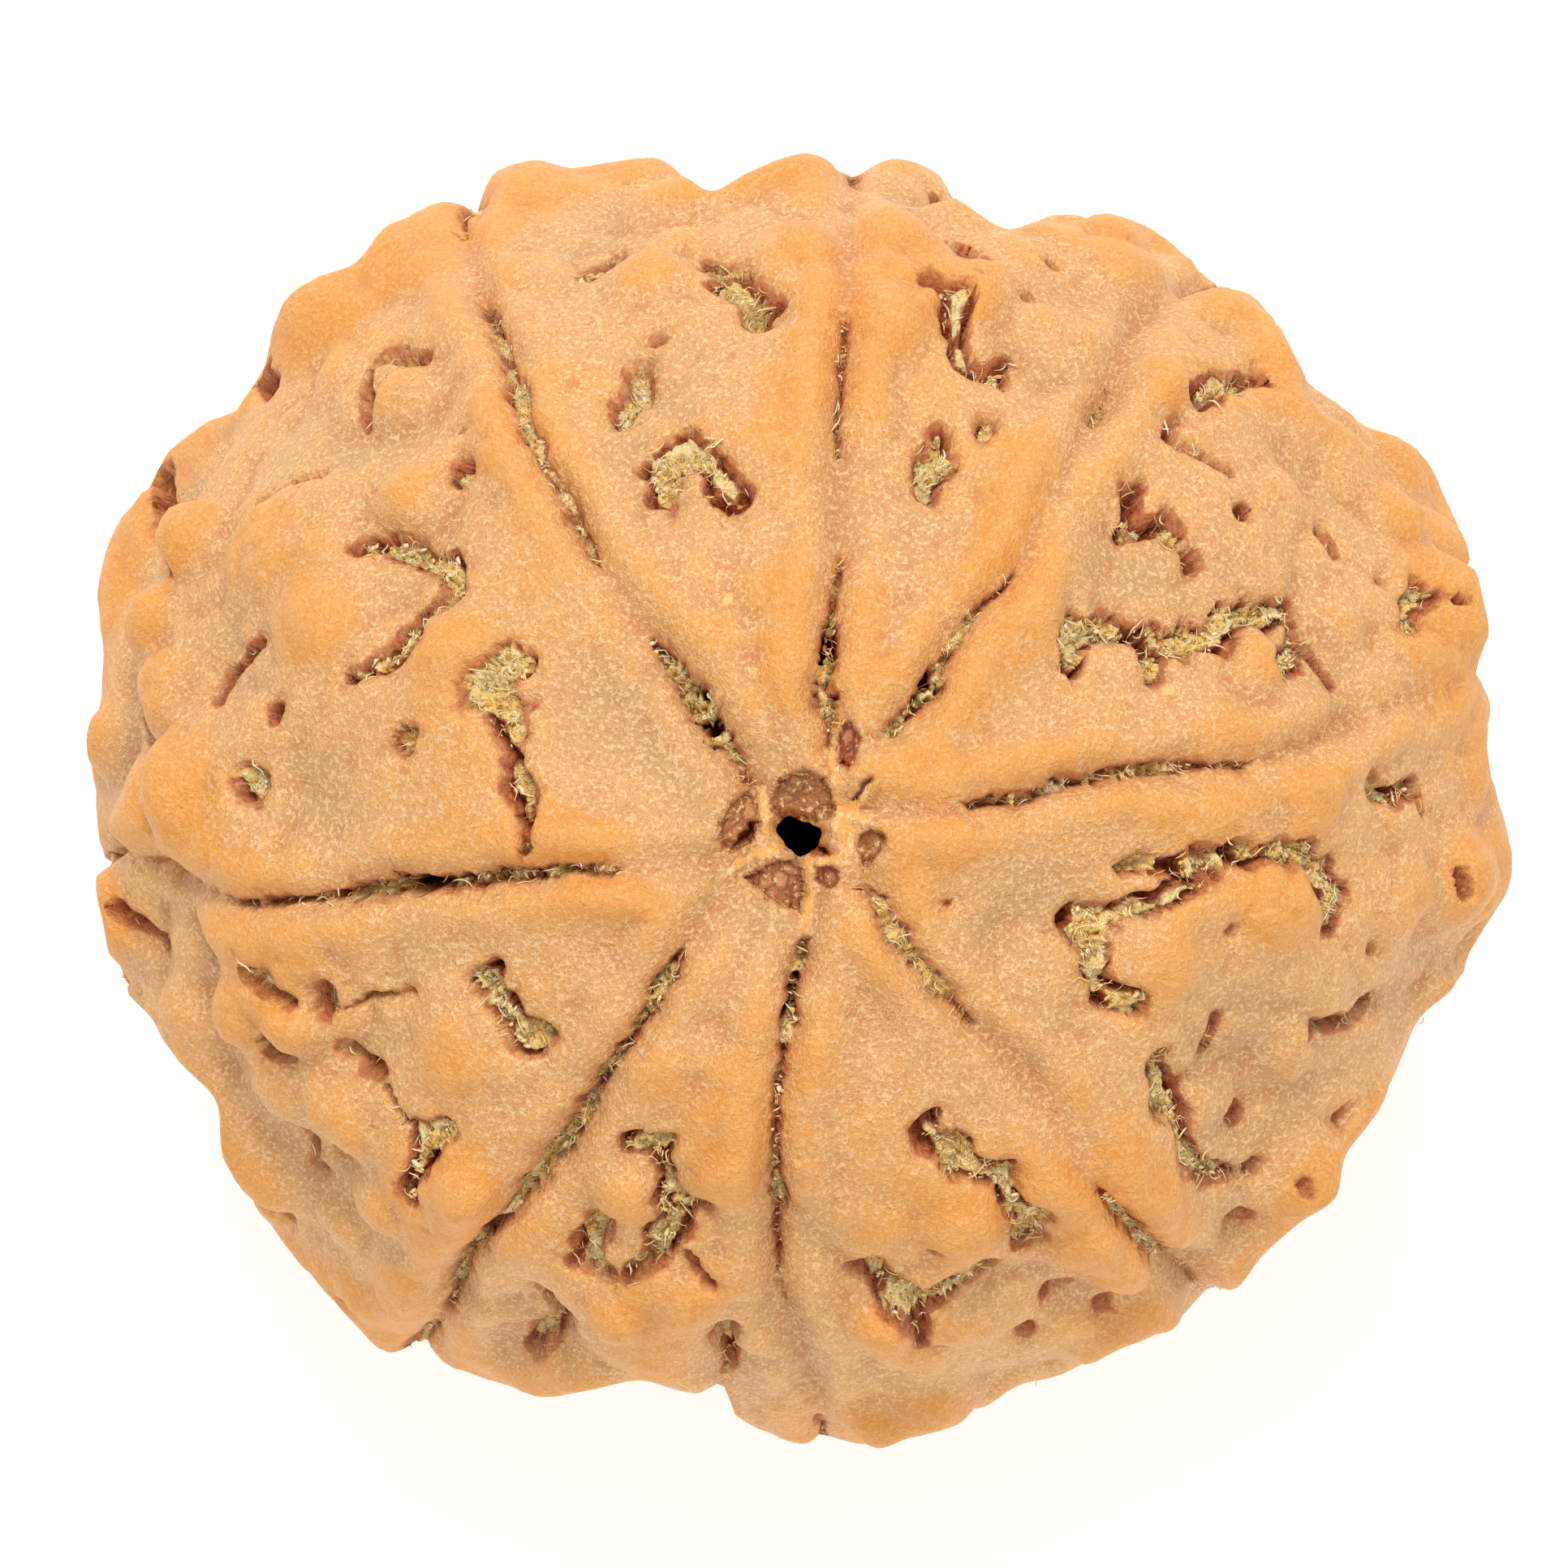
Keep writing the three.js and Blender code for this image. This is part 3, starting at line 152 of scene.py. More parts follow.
# Pits: a depth, then points of the route as x, y, half width.
pits = [
    [(0.7, 0.6, 0.3), [-2.77, 7.42, 0.22], [-2.84, 7, 0.27], [-2.98, 6.57, 0.2]],
    [(0.35, 0.2, 0.2), [-2.42, 7.94, 0.13]],
    [(0.65, 1, 0.1), [-2.28, 5.22, 0.36], [-2.39, 5.7, 0.31], [-1.89, 6.01, 0.34], [-1.44, 5.6, 0.31],
    [-1.08, 5.04, 0.28]],
    [(0.6, 0.8, 0.9), [-3.19, 9.52, 0.17], [-3.5, 9.28, 0.25], [-3.74, 9.06, 0.14]],
    [(0.55, 0.9, 0.9), [-1.61, 9.28, 0.2], [-1.16, 8.92, 0.34], [-0.66, 8.33, 0.36]],
    [(0.75, 0.8, 0.15), [2.14, 8.53, 0.2], [2.62, 8.29, 0.22], [2.56, 7.74, 0.22], [2.9, 7.35, 0.28],
    [3.36, 7.21, 0.25], [3.57, 7.63, 0.17]],
    [(0.7, 0.7, 0.1), [2.39, 6.16, 0.24], [2.25, 5.67, 0.31], [2.14, 5.25, 0.22]],
    [(0.45, 0.4, 0.1), [3.15, 6.23, 0.21]],
    [(0.35, 0.1, 0), [3.88, 8.54, 0.17]],
    [(0.35, 0, 0), [2.45, 9.59, 0.17], [3.01, 9.1, 0.2]],
    [(0.7, 0.5, 0.3), [5.7, 5.25, 0.28], [5.67, 4.66, 0.25], [6.2, 4.76, 0.24], [6.48, 4.52, 0.2],
    [6.76, 4.13, 0.13]],
    [(0.7, 0.7, 0.5), [7.84, 7.07, 0.15], [7.42, 7, 0.2], [6.93, 6.93, 0.28], [6.79, 6.68, 0.21]],
    [(0.6, 0.4, 0.1), [6.37, 6.37, 0.21], [6.26, 6.12, 0.18], [6.68, 5.92, 0.17], [7.24, 5.6, 0.13]],
    [(0.45, 0.3, 0.1), [7.55, 4.9, 0.21]],
    [(0.45, 0.3, 0), [8.99, 4.62, 0.17], [9.17, 4.24, 0.13]],
    [(0.7, 1, 0.1), [4.52, 2.24, 0.22], [4.55, 2.8, 0.28], [5.04, 2.98, 0.28], [5.81, 2.8, 0.28],
    [6.51, 2.63, 0.29], [7.07, 2.76, 0.28], [7.38, 3.18, 0.31], [8.05, 3.22, 0.25], [8.5, 3.32, 0.2],
    [8.67, 2.87, 0.21], [8.47, 2.45, 0.28], [8.13, 2.23, 0.2]],
    [(0.65, 0.9, 0.1), [6.06, 2.59, 0.28], [6.02, 2.06, 0.22]],
    [(0.35, 0.3, 0), [8.67, 2.73, 0.14], [9, 2.34, 0.11], [9.24, 1.96, 0.08]],
    [(0.55, 0.9, 0), [10.32, 3.4, 0.25], [10.21, 2.87, 0.21]],
    [(0.3, 0, 0), [9.9, 5.56, 0.17], [10.23, 5, 0.14]],
    [(0.6, 0.6, 0.1), [9.76, 0.28, 0.17], [10.15, 0.04, 0.25], [10.54, 0.28, 0.18],
    [10.64, -0.21, 0.17]],
    [(0.3, 0.1, 0), [10.92, -1.19, 0.11], [10.93, -1.54, 0.11]],
    [(0.65, 0.8, 0.15), [5.42, -1.16, 0.17], [5.88, -1.05, 0.21], [6.37, -1.12, 0.22],
    [6.93, -1.08, 0.31], [7.28, -0.85, 0.22], [7.84, -0.94, 0.2], [8.47, -0.88, 0.24],
    [8.82, -1.22, 0.34], [9.06, -1.72, 0.39], [9.03, -2.03, 0.22]],
    [(0.65, 0.85, 0), [6.68, -1.4, 0.14], [5.95, -1.68, 0.21], [5.42, -1.92, 0.2], [4.76, -2.14, 0.35],
    [5, -2.66, 0.31], [5.04, -3.18, 0.31], [5.6, -3.43, 0.24]],
    [(0.45, 0.2, 0.5), [7.21, -3.82, 0.15], [7.13, -4.16, 0.17], [7.04, -4.41, 0.11]],
    [(0.7, 0.85, 0.4), [6.12, -4.41, 0.21], [6.26, -5.04, 0.34], [6.44, -5.67, 0.24],
    [6.62, -6.09, 0.28], [6.93, -6.4, 0.24], [7.42, -6.54, 0.21], [7.88, -6.37, 0.17]],
    [(0.5, 0.4, 0.1), [7.71, -5.56, 0.24]],
    [(0.3, 0.2, 0), [8.33, -6.37, 0.14]],
    [(0.5, 0.3, 0.1), [8.86, -3.99, 0.2], [9.38, -3.88, 0.2], [9.98, -3.51, 0.15]],
    [(0.35, 0.2, 0.1), [9.17, -5.39, 0.15]],
    [(0.45, 0.3, 0.1), [7.63, -7.25, 0.2]],
    [(0.7, 0.75, 0.6), [2.14, -5.56, 0.31], [2.7, -6.06, 0.31], [3.32, -6.34, 0.28],
    [3.57, -6.72, 0.2], [3.88, -7.1, 0.35], [3.79, -7.52, 0.28]],
    [(0.25, 0, 0), [2.28, -7.52, 0.1]],
    [(0.7, 0.7, 0.2), [1.16, -7.98, 0.28], [1.61, -8.3, 0.31], [2.03, -8.47, 0.28],
    [2.52, -8.26, 0.31], [3.15, -8.05, 0.22]],
    [(0.5, 0.6, 0.1), [2.03, -8.61, 0.17], [2.06, -9.17, 0.11]],
    [(0.4, 0.3, 0.1), [4.58, -8.33, 0.14], [4.24, -8.5, 0.14]],
    [(0.45, 0.1, 0.1), [5.19, -8.61, 0.2]],
    [(0.4, 0.1, 0), [3.91, -9.07, 0.2]],
    [(0.3, 0.1, 0), [1.89, -10.4, 0.13]],
    [(0.6, 1, 0.9), [-2.9, -5.84, 0.17], [-2.42, -5.84, 0.31], [-2.23, -6.37, 0.24],
    [-2.09, -6.86, 0.31], [-2.11, -7.24, 0.34], [-2.48, -7.66, 0.24], [-2.87, -7.99, 0.11]],
    [(0.4, 0.5, 0.6), [-2.1, -6.86, 0.14], [-1.58, -6.85, 0.13]],
    [(0.35, 0.2, 0.2), [-1.95, -7.6, 0.11], [-1.47, -8.02, 0.1]],
    [(0.65, 0.5, 0.4), [-3.4, -7.28, 0.25], [-3.71, -7.77, 0.24], [-3.29, -7.99, 0.25]],
    [(0.65, 0.4, 0.4), [-4.45, -8.47, 0.22], [-4.16, -8.89, 0.2], [-4.16, -9.28, 0.17],
    [-4.69, -9.48, 0.17]],
    [(0.55, 0.4, 0.4), [-1.29, -9, 0.2], [-1.23, -9.87, 0.14]],
    [(0.7, 0.9, 0.6), [-5.25, -3.12, 0.34], [-5.03, -3.54, 0.28], [-4.76, -3.92, 0.29],
    [-4.38, -4.1, 0.25]],
    [(0.6, 0.5, 0.1), [-9.17, -2.87, 0.21], [-8.82, -3.11, 0.22], [-8.53, -3.32, 0.14]],
    [(0.65, 0.3, 0), [-8.02, -3.4, 0.28]],
    [(0.2, 0, 0), [-7.8, -3.6, 0.1], [-7.35, -3.37, 0.08], [-6.51, -3.28, 0.06]],
    [(0.5, 0.3, 0.2), [-8.95, -4.13, 0.21], [-8.58, -4.35, 0.14]],
    [(0.5, 0.2, 0), [-7.77, -4.3, 0.21], [-7.42, -4.58, 0.22], [-7.18, -4.58, 0.17]],
    [(0.65, 0.9, 0.1), [-5.84, -5.49, 0.24], [-6.23, -5.63, 0.28], [-6.31, -5.98, 0.2],
    [-6.43, -6.37, 0.21], [-6.4, -6.59, 0.13]],
    [(0.3, 0.1, 0), [-8.68, -5.98, 0.14], [-8.5, -6.51, 0.14]],
    [(0.25, 0.1, 0), [-8.02, -6.26, 0.17]],
    [(0.4, 0, 0), [-8.02, -8.08, 0.14], [-7.69, -8.4, 0.13]],
    [(0.5, 0.5, 0.1), [-5.7, 5.5, 0.25]],
    [(0.6, 0.85, 0.05), [-7.38, 4.27, 0.2], [-6.86, 4.38, 0.27], [-6.37, 4.13, 0.18],
    [-5.87, 3.99, 0.28], [-5.95, 3.46, 0.2], [-6.37, 3.08, 0.17], [-6.51, 2.77, 0.24],
    [-6.72, 2.48, 0.21], [-7.14, 2.24, 0.2], [-7.49, 2.06, 0.17]],
    [(0.5, 1, 0.25), [-4.8, 2.34, 0.34], [-5.22, 1.89, 0.42], [-4.9, 1.36, 0.38], [-4.83, 0.91, 0.17]],
    [(0.6, 0.4, 0.3), [-4.76, 0.56, 0.22], [-4.66, 0.18, 0.29], [-4.55, -0.21, 0.17],
    [-4.49, -0.84, 0.1]],
    [(0.6, 0.5, 0.1), [-6.58, 0.94, 0.31]],
    [(0.45, 0.3, 0.1), [-8.89, 1.5, 0.24]],
    [(0.6, 0.6, 0.35), [-9.31, 0.32, 0.36]],
    [(0.4, 0.2, 0), [-9.28, 2.7, 0.14], [-9.87, 2.17, 0.15], [-9.98, 1.75, 0.13]],
    [(0.25, 0, 0), [-10.5, 3.79, 0.11]],
    [(0.35, 0.1, 0), [-11.48, 1.47, 0.2], [-10.99, 0.77, 0.2]],
    [(0.35, 0.1, 0), [-11.41, -1.75, 0.17], [-11.06, -2.52, 0.15]],
    [(0.5, 0.4, 0.2), [-7.07, 7.49, 0.2], [-6.4, 7.55, 0.15]],
    [(0.3, 0.1, 0.1), [-7.32, 7.21, 0.11], [-7.38, 6.51, 0.15]],
    [(0.6, 0, 0), [-1.13, -0.77, 0.06], [-1.02, -0.64, 0.07], [-0.85, -0.55, 0.07],
    [-0.83, -0.41, 0.06]],
    [(0.7, 0, 0), [0.25, -0.87, 0.06], [0.43, -0.88, 0.07]],
    [(0.3, 0, 0), [2.73, 9.42, 0.1]],
    [(0.3, 0, 0), [4.27, 9.03, 0.11]],
    [(0.3, 0, 0), [9.84, 3.71, 0.11]],
    [(0.3, 0, 0), [10.64, 3.15, 0.11]],
    [(0.25, 0.2, 0), [7.25, -2.13, 0.11]],
    [(0.3, 0, 0), [9.83, -2.59, 0.11]],
    [(0.2, 0.5, 0), [2.48, -1.72, 0.1]],
    [(0.22, 0, 0), [-5.64, 6.2, 0.08]],
    [(0.2, 0, 0), [-8.12, 5.53, 0.06], [-8.61, 5.32, 0.07], [-9.17, 4.97, 0.06]],
    [(0.25, 0.1, 0), [-7, -4.9, 0.08], [-6.58, -5.39, 0.07]],
]

# Thin-skinned chambers round the mouth: depth, redness, outline in plan.
chambers = [
    (0.26, 0.25, [(-0.52, -0.04), (-0.45, 0.24), (-0.24, 0.45), (0.1, 0.52), (0.38, 0.42),
    (0.55, 0.18), (0.63, -0.1), (0.57, -0.29), (0.32, -0.39), (0, -0.34), (-0.28, -0.41),
    (-0.41, -0.29)]),
    (0.3, 0.35, [(-0.88, 0.18), (-0.76, 0.01), (-0.67, -0.28), (-0.69, -0.52), (-0.85, -0.77),
    (-1.12, -0.9), (-1.3, -0.85), (-1.39, -0.63), (-1.36, -0.35), (-1.18, -0.04), (-1.02, 0.1)]),
    (0.28, 0.45, [(-0.98, -1.34), (-0.63, -1.16), (-0.39, -0.98), (0, -1.02), (0.07, -1.26),
    (0.08, -1.92), (-0.18, -1.88), (-0.56, -1.67), (-0.83, -1.48)]),
    (0.2, 0.8, [(0.28, -1.13), (0.49, -1.05), (0.69, -1.16), (0.73, -1.36), (0.6, -1.53),
    (0.38, -1.53), (0.25, -1.36)]),
    (0.28, 0.15, [(0.98, -0.56), (1.13, -0.45), (1.36, -0.52), (1.46, -0.69), (1.37, -0.91),
    (1.19, -1.16), (1.08, -1.11), (0.97, -0.85)]),
    (0.26, 0.9, [(0.85, -0.01), (0.94, 0.18), (1.08, 0.35), (1.26, 0.41), (1.27, 0.28), (1.13, 0.07),
    (0.94, -0.04)]),
    (0.3, 0.9, [(0.66, 0.7), (0.64, 1.12), (0.74, 1.44), (0.91, 1.3), (1.05, 1.11), (0.99, 0.84),
    (0.99, 0.56), (0.8, 0.46), (0.69, 0.52)]),
]

# Cream strips between the chambers: x, y, half width.
septa = [
    [[-1.15, -1.15, 0.07], [-0.7, -0.95, 0.11], [-0.24, -0.71, 0.1]],
    [[0.59, 1.19, 0.06], [0.59, 0.56, 0.07], [0.64, 0, 0.11], [0.77, -0.21, 0.13]],
    [[1.3, 0.32, 0.04], [1.05, 0, 0.08], [0.77, -0.21, 0.13], [1.08, -0.29, 0.11]],
    [[0.63, -0.38, 0.1], [0.77, -0.55, 0.13], [0.81, -0.8, 0.11], [0.66, -0.99, 0.1],
    [0.32, -1.08, 0.07]],
    [[0.17, -0.99, 0.07], [0.17, -1.61, 0.07], [0.07, -2.31, 0.07]],
    [[-0.67, 0.18, 0.06], [-0.59, -0.14, 0.08], [-0.56, -0.49, 0.08], [-0.35, -0.63, 0.08]],
]

# Flecks of dried pulp on the open surface: x, y, radius.
patches = [
    [-3.95, 10.04, 0.28], [-2.84, 9.1, 0.13], [-8.22, 7.81, 0.28], [-10.36, 4.83, 0.17],
    [-10.82, 4.27, 0.14], [-1.89, 5.67, 0.22], [-1.26, 3.32, 0.14], [-0.73, 2.87, 0.15],
    [-0.8, 2.17, 0.13], [6.26, 1.89, 0.11],
]

# Knobs and shoulders, and dents with a height below zero: x, y, radius, height.
knobs = [
    [-1.12, 4.62, 0.31, -0.14], [-1.19, 3.99, 0.34, -0.14], [-1.22, 3.36, 0.34, -0.16],
    [-0.84, 3.01, 0.28, -0.16], [-0.8, 2.38, 0.25, -0.14], [-0.85, 1.89, 0.2, -0.1],
    [-1.72, -4.76, 0.34, -0.14], [-2.1, -5.32, 0.36, -0.14], [-3.15, -2.31, 0.63, -0.12],
    [1.26, -3.71, 0.63, -0.12], [-1.47, -3.92, 0.42, -0.1], [-0.63, 8.19, 0.42, -0.12],
    [-5.95, 4.83, 0.49, -0.15], [-9.17, 2.31, 0.56, -0.12], [-7.77, 5.95, 0.63, -0.12],
    [4.83, 4.83, 0.56, -0.12], [3.99, 1.47, 0.84, -0.1], [2.73, 4.83, 0.7, -0.1],
    [-10.78, 4.13, 0.63, 0.36], [-10.92, 3.01, 0.63, 0.43], [-10.82, 1.75, 0.63, 0.36],
    [-10.36, 0.35, 0.7, 0.43], [-10.22, -0.49, 0.63, 0.29], [-6.72, 6.79, 0.56, 0.43],
    [-6.58, 5.11, 0.63, 0.43], [-7.91, 7.21, 0.49, 0.29], [-5.95, 2.45, 0.7, 0.29],
    [-7.91, 3.01, 0.7, 0.29], [-9.17, 4.13, 0.84, 0.29], [-4.55, 9.03, 0.7, 0.29],
    [-2.59, 8.89, 0.63, 0.43], [-2.03, 9.59, 0.63, 0.29], [-0.07, 9.31, 0.7, 0.36],
    [1.54, 9.45, 0.7, 0.43], [1.61, 7.77, 0.42, 0.29], [3.01, 8.33, 0.42, 0.36],
    [4.41, 7.91, 0.7, 0.29], [5.67, 8.89, 0.84, 0.36], [7.21, 8.19, 0.63, 0.36],
    [8.33, 6.51, 0.7, 0.36], [6.09, 6.93, 0.49, 0.36], [8.33, 5.25, 0.56, 0.29],
    [10.01, 4.83, 0.56, 0.36], [9.31, 3.15, 0.49, 0.29], [7.77, 2.31, 0.49, 0.36],
    [10.01, 1.47, 0.63, 0.29], [8.61, -0.07, 0.56, 0.29], [8.05, -1.75, 0.77, 0.36],
    [10.29, -1.75, 0.7, 0.36], [4.13, -3.01, 0.7, 0.22], [6.09, -2.87, 0.63, 0.29],
    [8.47, -4.41, 0.63, 0.29], [7.21, -5.25, 0.56, 0.29], [5.39, -7.77, 0.63, 0.51],
    [2.73, -7.21, 0.63, 0.43], [1.47, -8.75, 0.56, 0.43], [1.05, -7.21, 0.63, 0.29],
    [4.62, -8.82, 0.35, 0.29], [4.69, -7.49, 0.56, 0.36], [-3.01, -6.65, 0.49, 0.43],
    [-1.19, -6.37, 0.56, 0.29], [-1.75, -8.47, 0.56, 0.36], [-3.15, -8.61, 0.49, 0.36],
    [-5.11, -8.89, 0.49, 0.29], [-1.19, -8.05, 0.49, 0.29], [-7.77, -5.39, 0.63, 0.36],
    [-7.21, -6.93, 0.56, 0.36], [-8.89, -5.11, 0.56, 0.29], [-8.47, -3.85, 0.42, 0.43],
    [-9.59, -3.57, 0.56, 0.36], [-10.57, -2.59, 0.63, 0.36], [-5.95, -4.27, 0.7, 0.22],
    [-5.53, -6.37, 0.49, 0.29], [-9.17, -6.93, 0.56, 0.29], [-6.79, -8.05, 0.56, 0.29],
    [-7.91, -7.35, 0.49, 0.29],
]

# Outline at the belt: the knobs and the notches between them.
rim = [
    [-12.24, 1.12], [-12.07, 1.68], [-12.01, 2.59], [-12.12, 3.43], [-11.87, 4.69], [-11.48, 5.18],
    [-10.82, 6.05], [-10.12, 6.55], [-9.66, 6.76], [-9.24, 7.42], [-9.13, 7.77], [-8.86, 8.5],
    [-8.19, 9], [-7.63, 9.16], [-7.07, 9.84], [-6.37, 10.22], [-5.81, 10.32], [-5.6, 10.23],
    [-5.28, 10.78], [-4.55, 11.03], [-3.99, 10.89], [-2.87, 11.06], [-2.31, 11], [-1.58, 10.33],
    [-0.91, 10.63], [0, 10.99], [0.49, 10.93], [0.91, 10.81], [1.61, 11.05], [2.38, 10.81],
    [2.7, 10.22], [3.53, 9.67], [4.34, 10], [5.11, 10.04], [5.6, 10.11], [6.51, 9.62], [7.07, 9.02],
    [7.91, 8.57], [8.5, 7.42], [9.03, 6.9], [9.73, 6.44], [10.64, 6.02], [11.13, 5.22], [11.44, 4.41],
    [11.62, 3.43], [11.75, 2.73], [11.65, 2.24], [11.87, 1.58], [11.72, 0.91], [11.97, 0],
    [12.22, -0.84], [12.08, -1.68], [11.47, -2.59], [11.27, -3.08], [10.5, -3.71], [10.18, -4.41],
    [9.87, -5.11], [9.24, -5.98], [9.1, -6.76], [8.47, -7.21], [7.88, -7.77], [7.42, -8.37],
    [6.99, -8.47], [6.37, -9.06], [5.5, -9.31], [4.69, -9.76], [3.71, -9.97], [2.94, -10.57],
    [1.89, -10.88], [1.33, -11.09], [0.42, -10.99], [0.07, -11.06], [-0.63, -10.85], [-1.12, -10.5],
    [-1.26, -9.9], [-1.75, -10.12], [-2.66, -9.86], [-3.43, -10.01], [-4.41, -10.21], [-5.25, -10.05],
    [-6.09, -9.73], [-6.48, -9.38], [-7.07, -9.55], [-7.63, -9.03], [-8.54, -8.05], [-9.24, -7.21],
    [-9.83, -6.09], [-9.9, -5.11], [-10.78, -4.27], [-11.1, -3.71], [-11.69, -3.15], [-11.86, -2.24],
    [-12.1, -0.91], [-12.14, 0],
]


def dice(seed):
    # a plain random stream that the part's source uses too
    state = seed
    while True:
        state = (state * 1664525 + 1013904223) % 4294967296
        yield state / 4294967296


def onBody(p):
    p = np.atleast_2d(np.asarray(p, float))
    across = np.hypot(p[:, 0] / stone["halfLength"], p[:, 1] / stone["halfWidth"])
    up = np.abs(p[:, 2]) / stone["halfHeight"]
    full = stone["fullness"]
    return p * ((across ** full + up ** full) ** (-1 / full))[:, None]


def lift(x, y):
    # a spot seen from above, put onto the upper side
    across = math.hypot(x / stone["halfLength"], y / stone["halfWidth"])
    keep = min(across, 0.995) / max(across, 1e-6)
    across = min(across, 0.995)
    full = stone["fullness"]
    return np.array([x * keep, y * keep, stone["halfHeight"] * (1 - across ** full) ** (1 / full)])


def outward(p):
    flat = (p[:, 0] / stone["halfLength"]) ** 2 + (p[:, 1] / stone["halfWidth"]) ** 2
    steep = np.maximum(flat, 1e-9) ** (stone["fullness"] / 2 - 1)
    rise = np.sign(p[:, 2]) * (np.abs(p[:, 2]) / stone["halfHeight"]) ** (stone["fullness"] - 1)
    n = np.stack([p[:, 0] * steep / stone["halfLength"] ** 2, p[:, 1] * steep / stone["halfWidth"] ** 2,
                  rise / stone["halfHeight"]], axis=1)
    return n / np.linalg.norm(n, axis=1)[:, None]


def smooth(low, high, x):
    t = np.clip((x - low) / (high - low), 0, 1)
    return t * t * (3 - 2 * t)


def bell(x):
    return np.exp(-x * x)


def planRoute(points, deep=None):
    # a route: the points of a furrow on the body, with a half width and a depth at each
    spots = np.array([lift(p[0], p[1]) for p in points])
    wide = np.array([p[2] for p in points])
    depth = np.array([p[3] for p in points]) if deep is None else np.full(len(points), deep)
    return spots, wide, depth


def cleftRoute(index, cleft):
    # a cleft as read, carried on round the belt and down to the foot
    spots, wide, deep = planRoute(cleft)
    azimuth = math.atan2(cleft[-1][1], cleft[-1][0])
    extra = []
    for step in range(1, 9):
        down = step * 0.17
        turn = azimuth + 0.05 * math.sin(2.1 * step + 1.7 * index)
        flat = math.cos(down)
        at = onBody([math.cos(turn) * flat, math.sin(turn) * flat, -math.sin(down)])[0]
        extra.append((at, 0.11 + 0.04 * math.sin(1.3 * step + index), 0.5 if step < 8 else 0.25))
    return (np.vstack([spots, [e[0] for e in extra]]), np.append(wide, [e[1] for e in extra]),
            np.append(deep, [e[2] for e in extra]))


def nearest(p, route):
    # distance, half width and depth at the nearest point of a route, and the step away from it
    spots, wides, deeps = route
    away, offset = np.full(len(p), 99.0), np.zeros((len(p), 3))
    wide, deep = np.ones(len(p)), np.zeros(len(p))
    for i in range(max(len(spots) - 1, 1)):
        j = min(i + 1, len(spots) - 1)
        leg = spots[j] - spots[i]
        t = np.clip((p - spots[i]) @ leg / max(leg @ leg, 1e-9), 0, 1)
        step = p - spots[i] - t[:, None] * leg
        d = np.linalg.norm(step, axis=1)
        closer = d < away
        away[closer], offset[closer] = d[closer], step[closer]
        wide[closer] = (wides[i] + (wides[j] - wides[i]) * t)[closer]
        deep[closer] = (deeps[i] + (deeps[j] - deeps[i]) * t)[closer]
    return away, wide, deep, offset


def nearby(p, route, reach):
    # only the points that a short route can touch
    middle = route[0].mean(axis=0)
    size = np.linalg.norm(route[0] - middle, axis=1).max() + route[1].max() + reach
    chosen = np.flatnonzero(np.linalg.norm(p - middle, axis=1) < size)
    return chosen, nearest(p[chosen], route)


cleftRoutes = [cleftRoute(i, cleft) for i, cleft in enumerate(clefts)]
pitRoutes = [planRoute(pit[1:], pit[0][0]) for pit in pits]
pulpOf = [(min(1.4 * pulp, 1), green) for (deep, pulp, green), *route in pits]
septumRoutes = [planRoute(septum, 0.1) for septum in septa]
knobSpots = [(lift(x, y), wide, high) for x, y, wide, high in knobs]

# knobs and pits of the side and the underside, strewn the same way each time
strew = dice(strewn["seed"])


def drawn(name):
    least, more = strewn[name]
    return least + next(strew) * more


placed = 0
for again in range(strewn["tries"][0]):
    if placed >= strewn["knobs"]:
        break
    turn, level = next(strew) * 2 * math.pi, drawn("knobLevel")
    flat = math.sqrt(1 - level * level)
    at = onBody([flat * math.cos(turn), flat * math.sin(turn), level])[0]
    wide = drawn("knobWide")
    high = drawn("knobHigh") * (1 - 0.2 * bell(at[2] / 2.5))
    crowded = any(np.linalg.norm(knob[0] - at) < (knob[1] + wide) * strewn["crowding"] for knob in knobSpots)
    if crowded or any(nearest(at[None], route)[0][0] < strewn["cleftGap"] for route in cleftRoutes):
        continue
    knobSpots.append((at, wide, high))
    placed += 1
placed = 0
for again in range(strewn["tries"][1]):
    if placed >= strewn["pits"]:
        break
    turn, level = next(strew) * 2 * math.pi, drawn("pitLevel")
    heading, wide = next(strew) * 2 * math.pi, drawn("pitWide")
    flat = math.sqrt(1 - level * level)
    spots = []
    for step in range(3):
        shift = step * 0.055
        bend = heading + (step - 1) * (next(strew) - 0.5) * 2
        around, height = turn + shift * math.cos(bend), level + shift * math.sin(bend)
        spots.append(onBody([flat * math.cos(around), flat * math.sin(around), height])[0])
    route = (np.array(spots), np.full(3, wide), np.full(3, 0.5 + wide))
    ends = route[0][[0, 2]]
    if all(nearest(ends, other)[0].min() > strewn["pitGap"] for other in cleftRoutes + pitRoutes):
        pitRoutes.append(route)
        pulpOf.append((0.85 if placed % 2 else 0.3, 0.3))
        placed += 1

roll = dice(swelling["seed"])
swells = []
for i in range(swelling["count"]):
    turn, level = next(roll) * 2 * math.pi, next(roll) * 2 - 1
    flat, across = math.sqrt(1 - level * level), 2.6 + next(roll) * 2.6
    pull = np.array([flat * math.cos(turn), flat * math.sin(turn), level]) * 2 * math.pi / across
    swells.append((pull, next(roll) * 6.283, swelling["share"] * across))

rimTurns = sorted((math.atan2(y, x), math.hypot(x, y)) for x, y in rim)


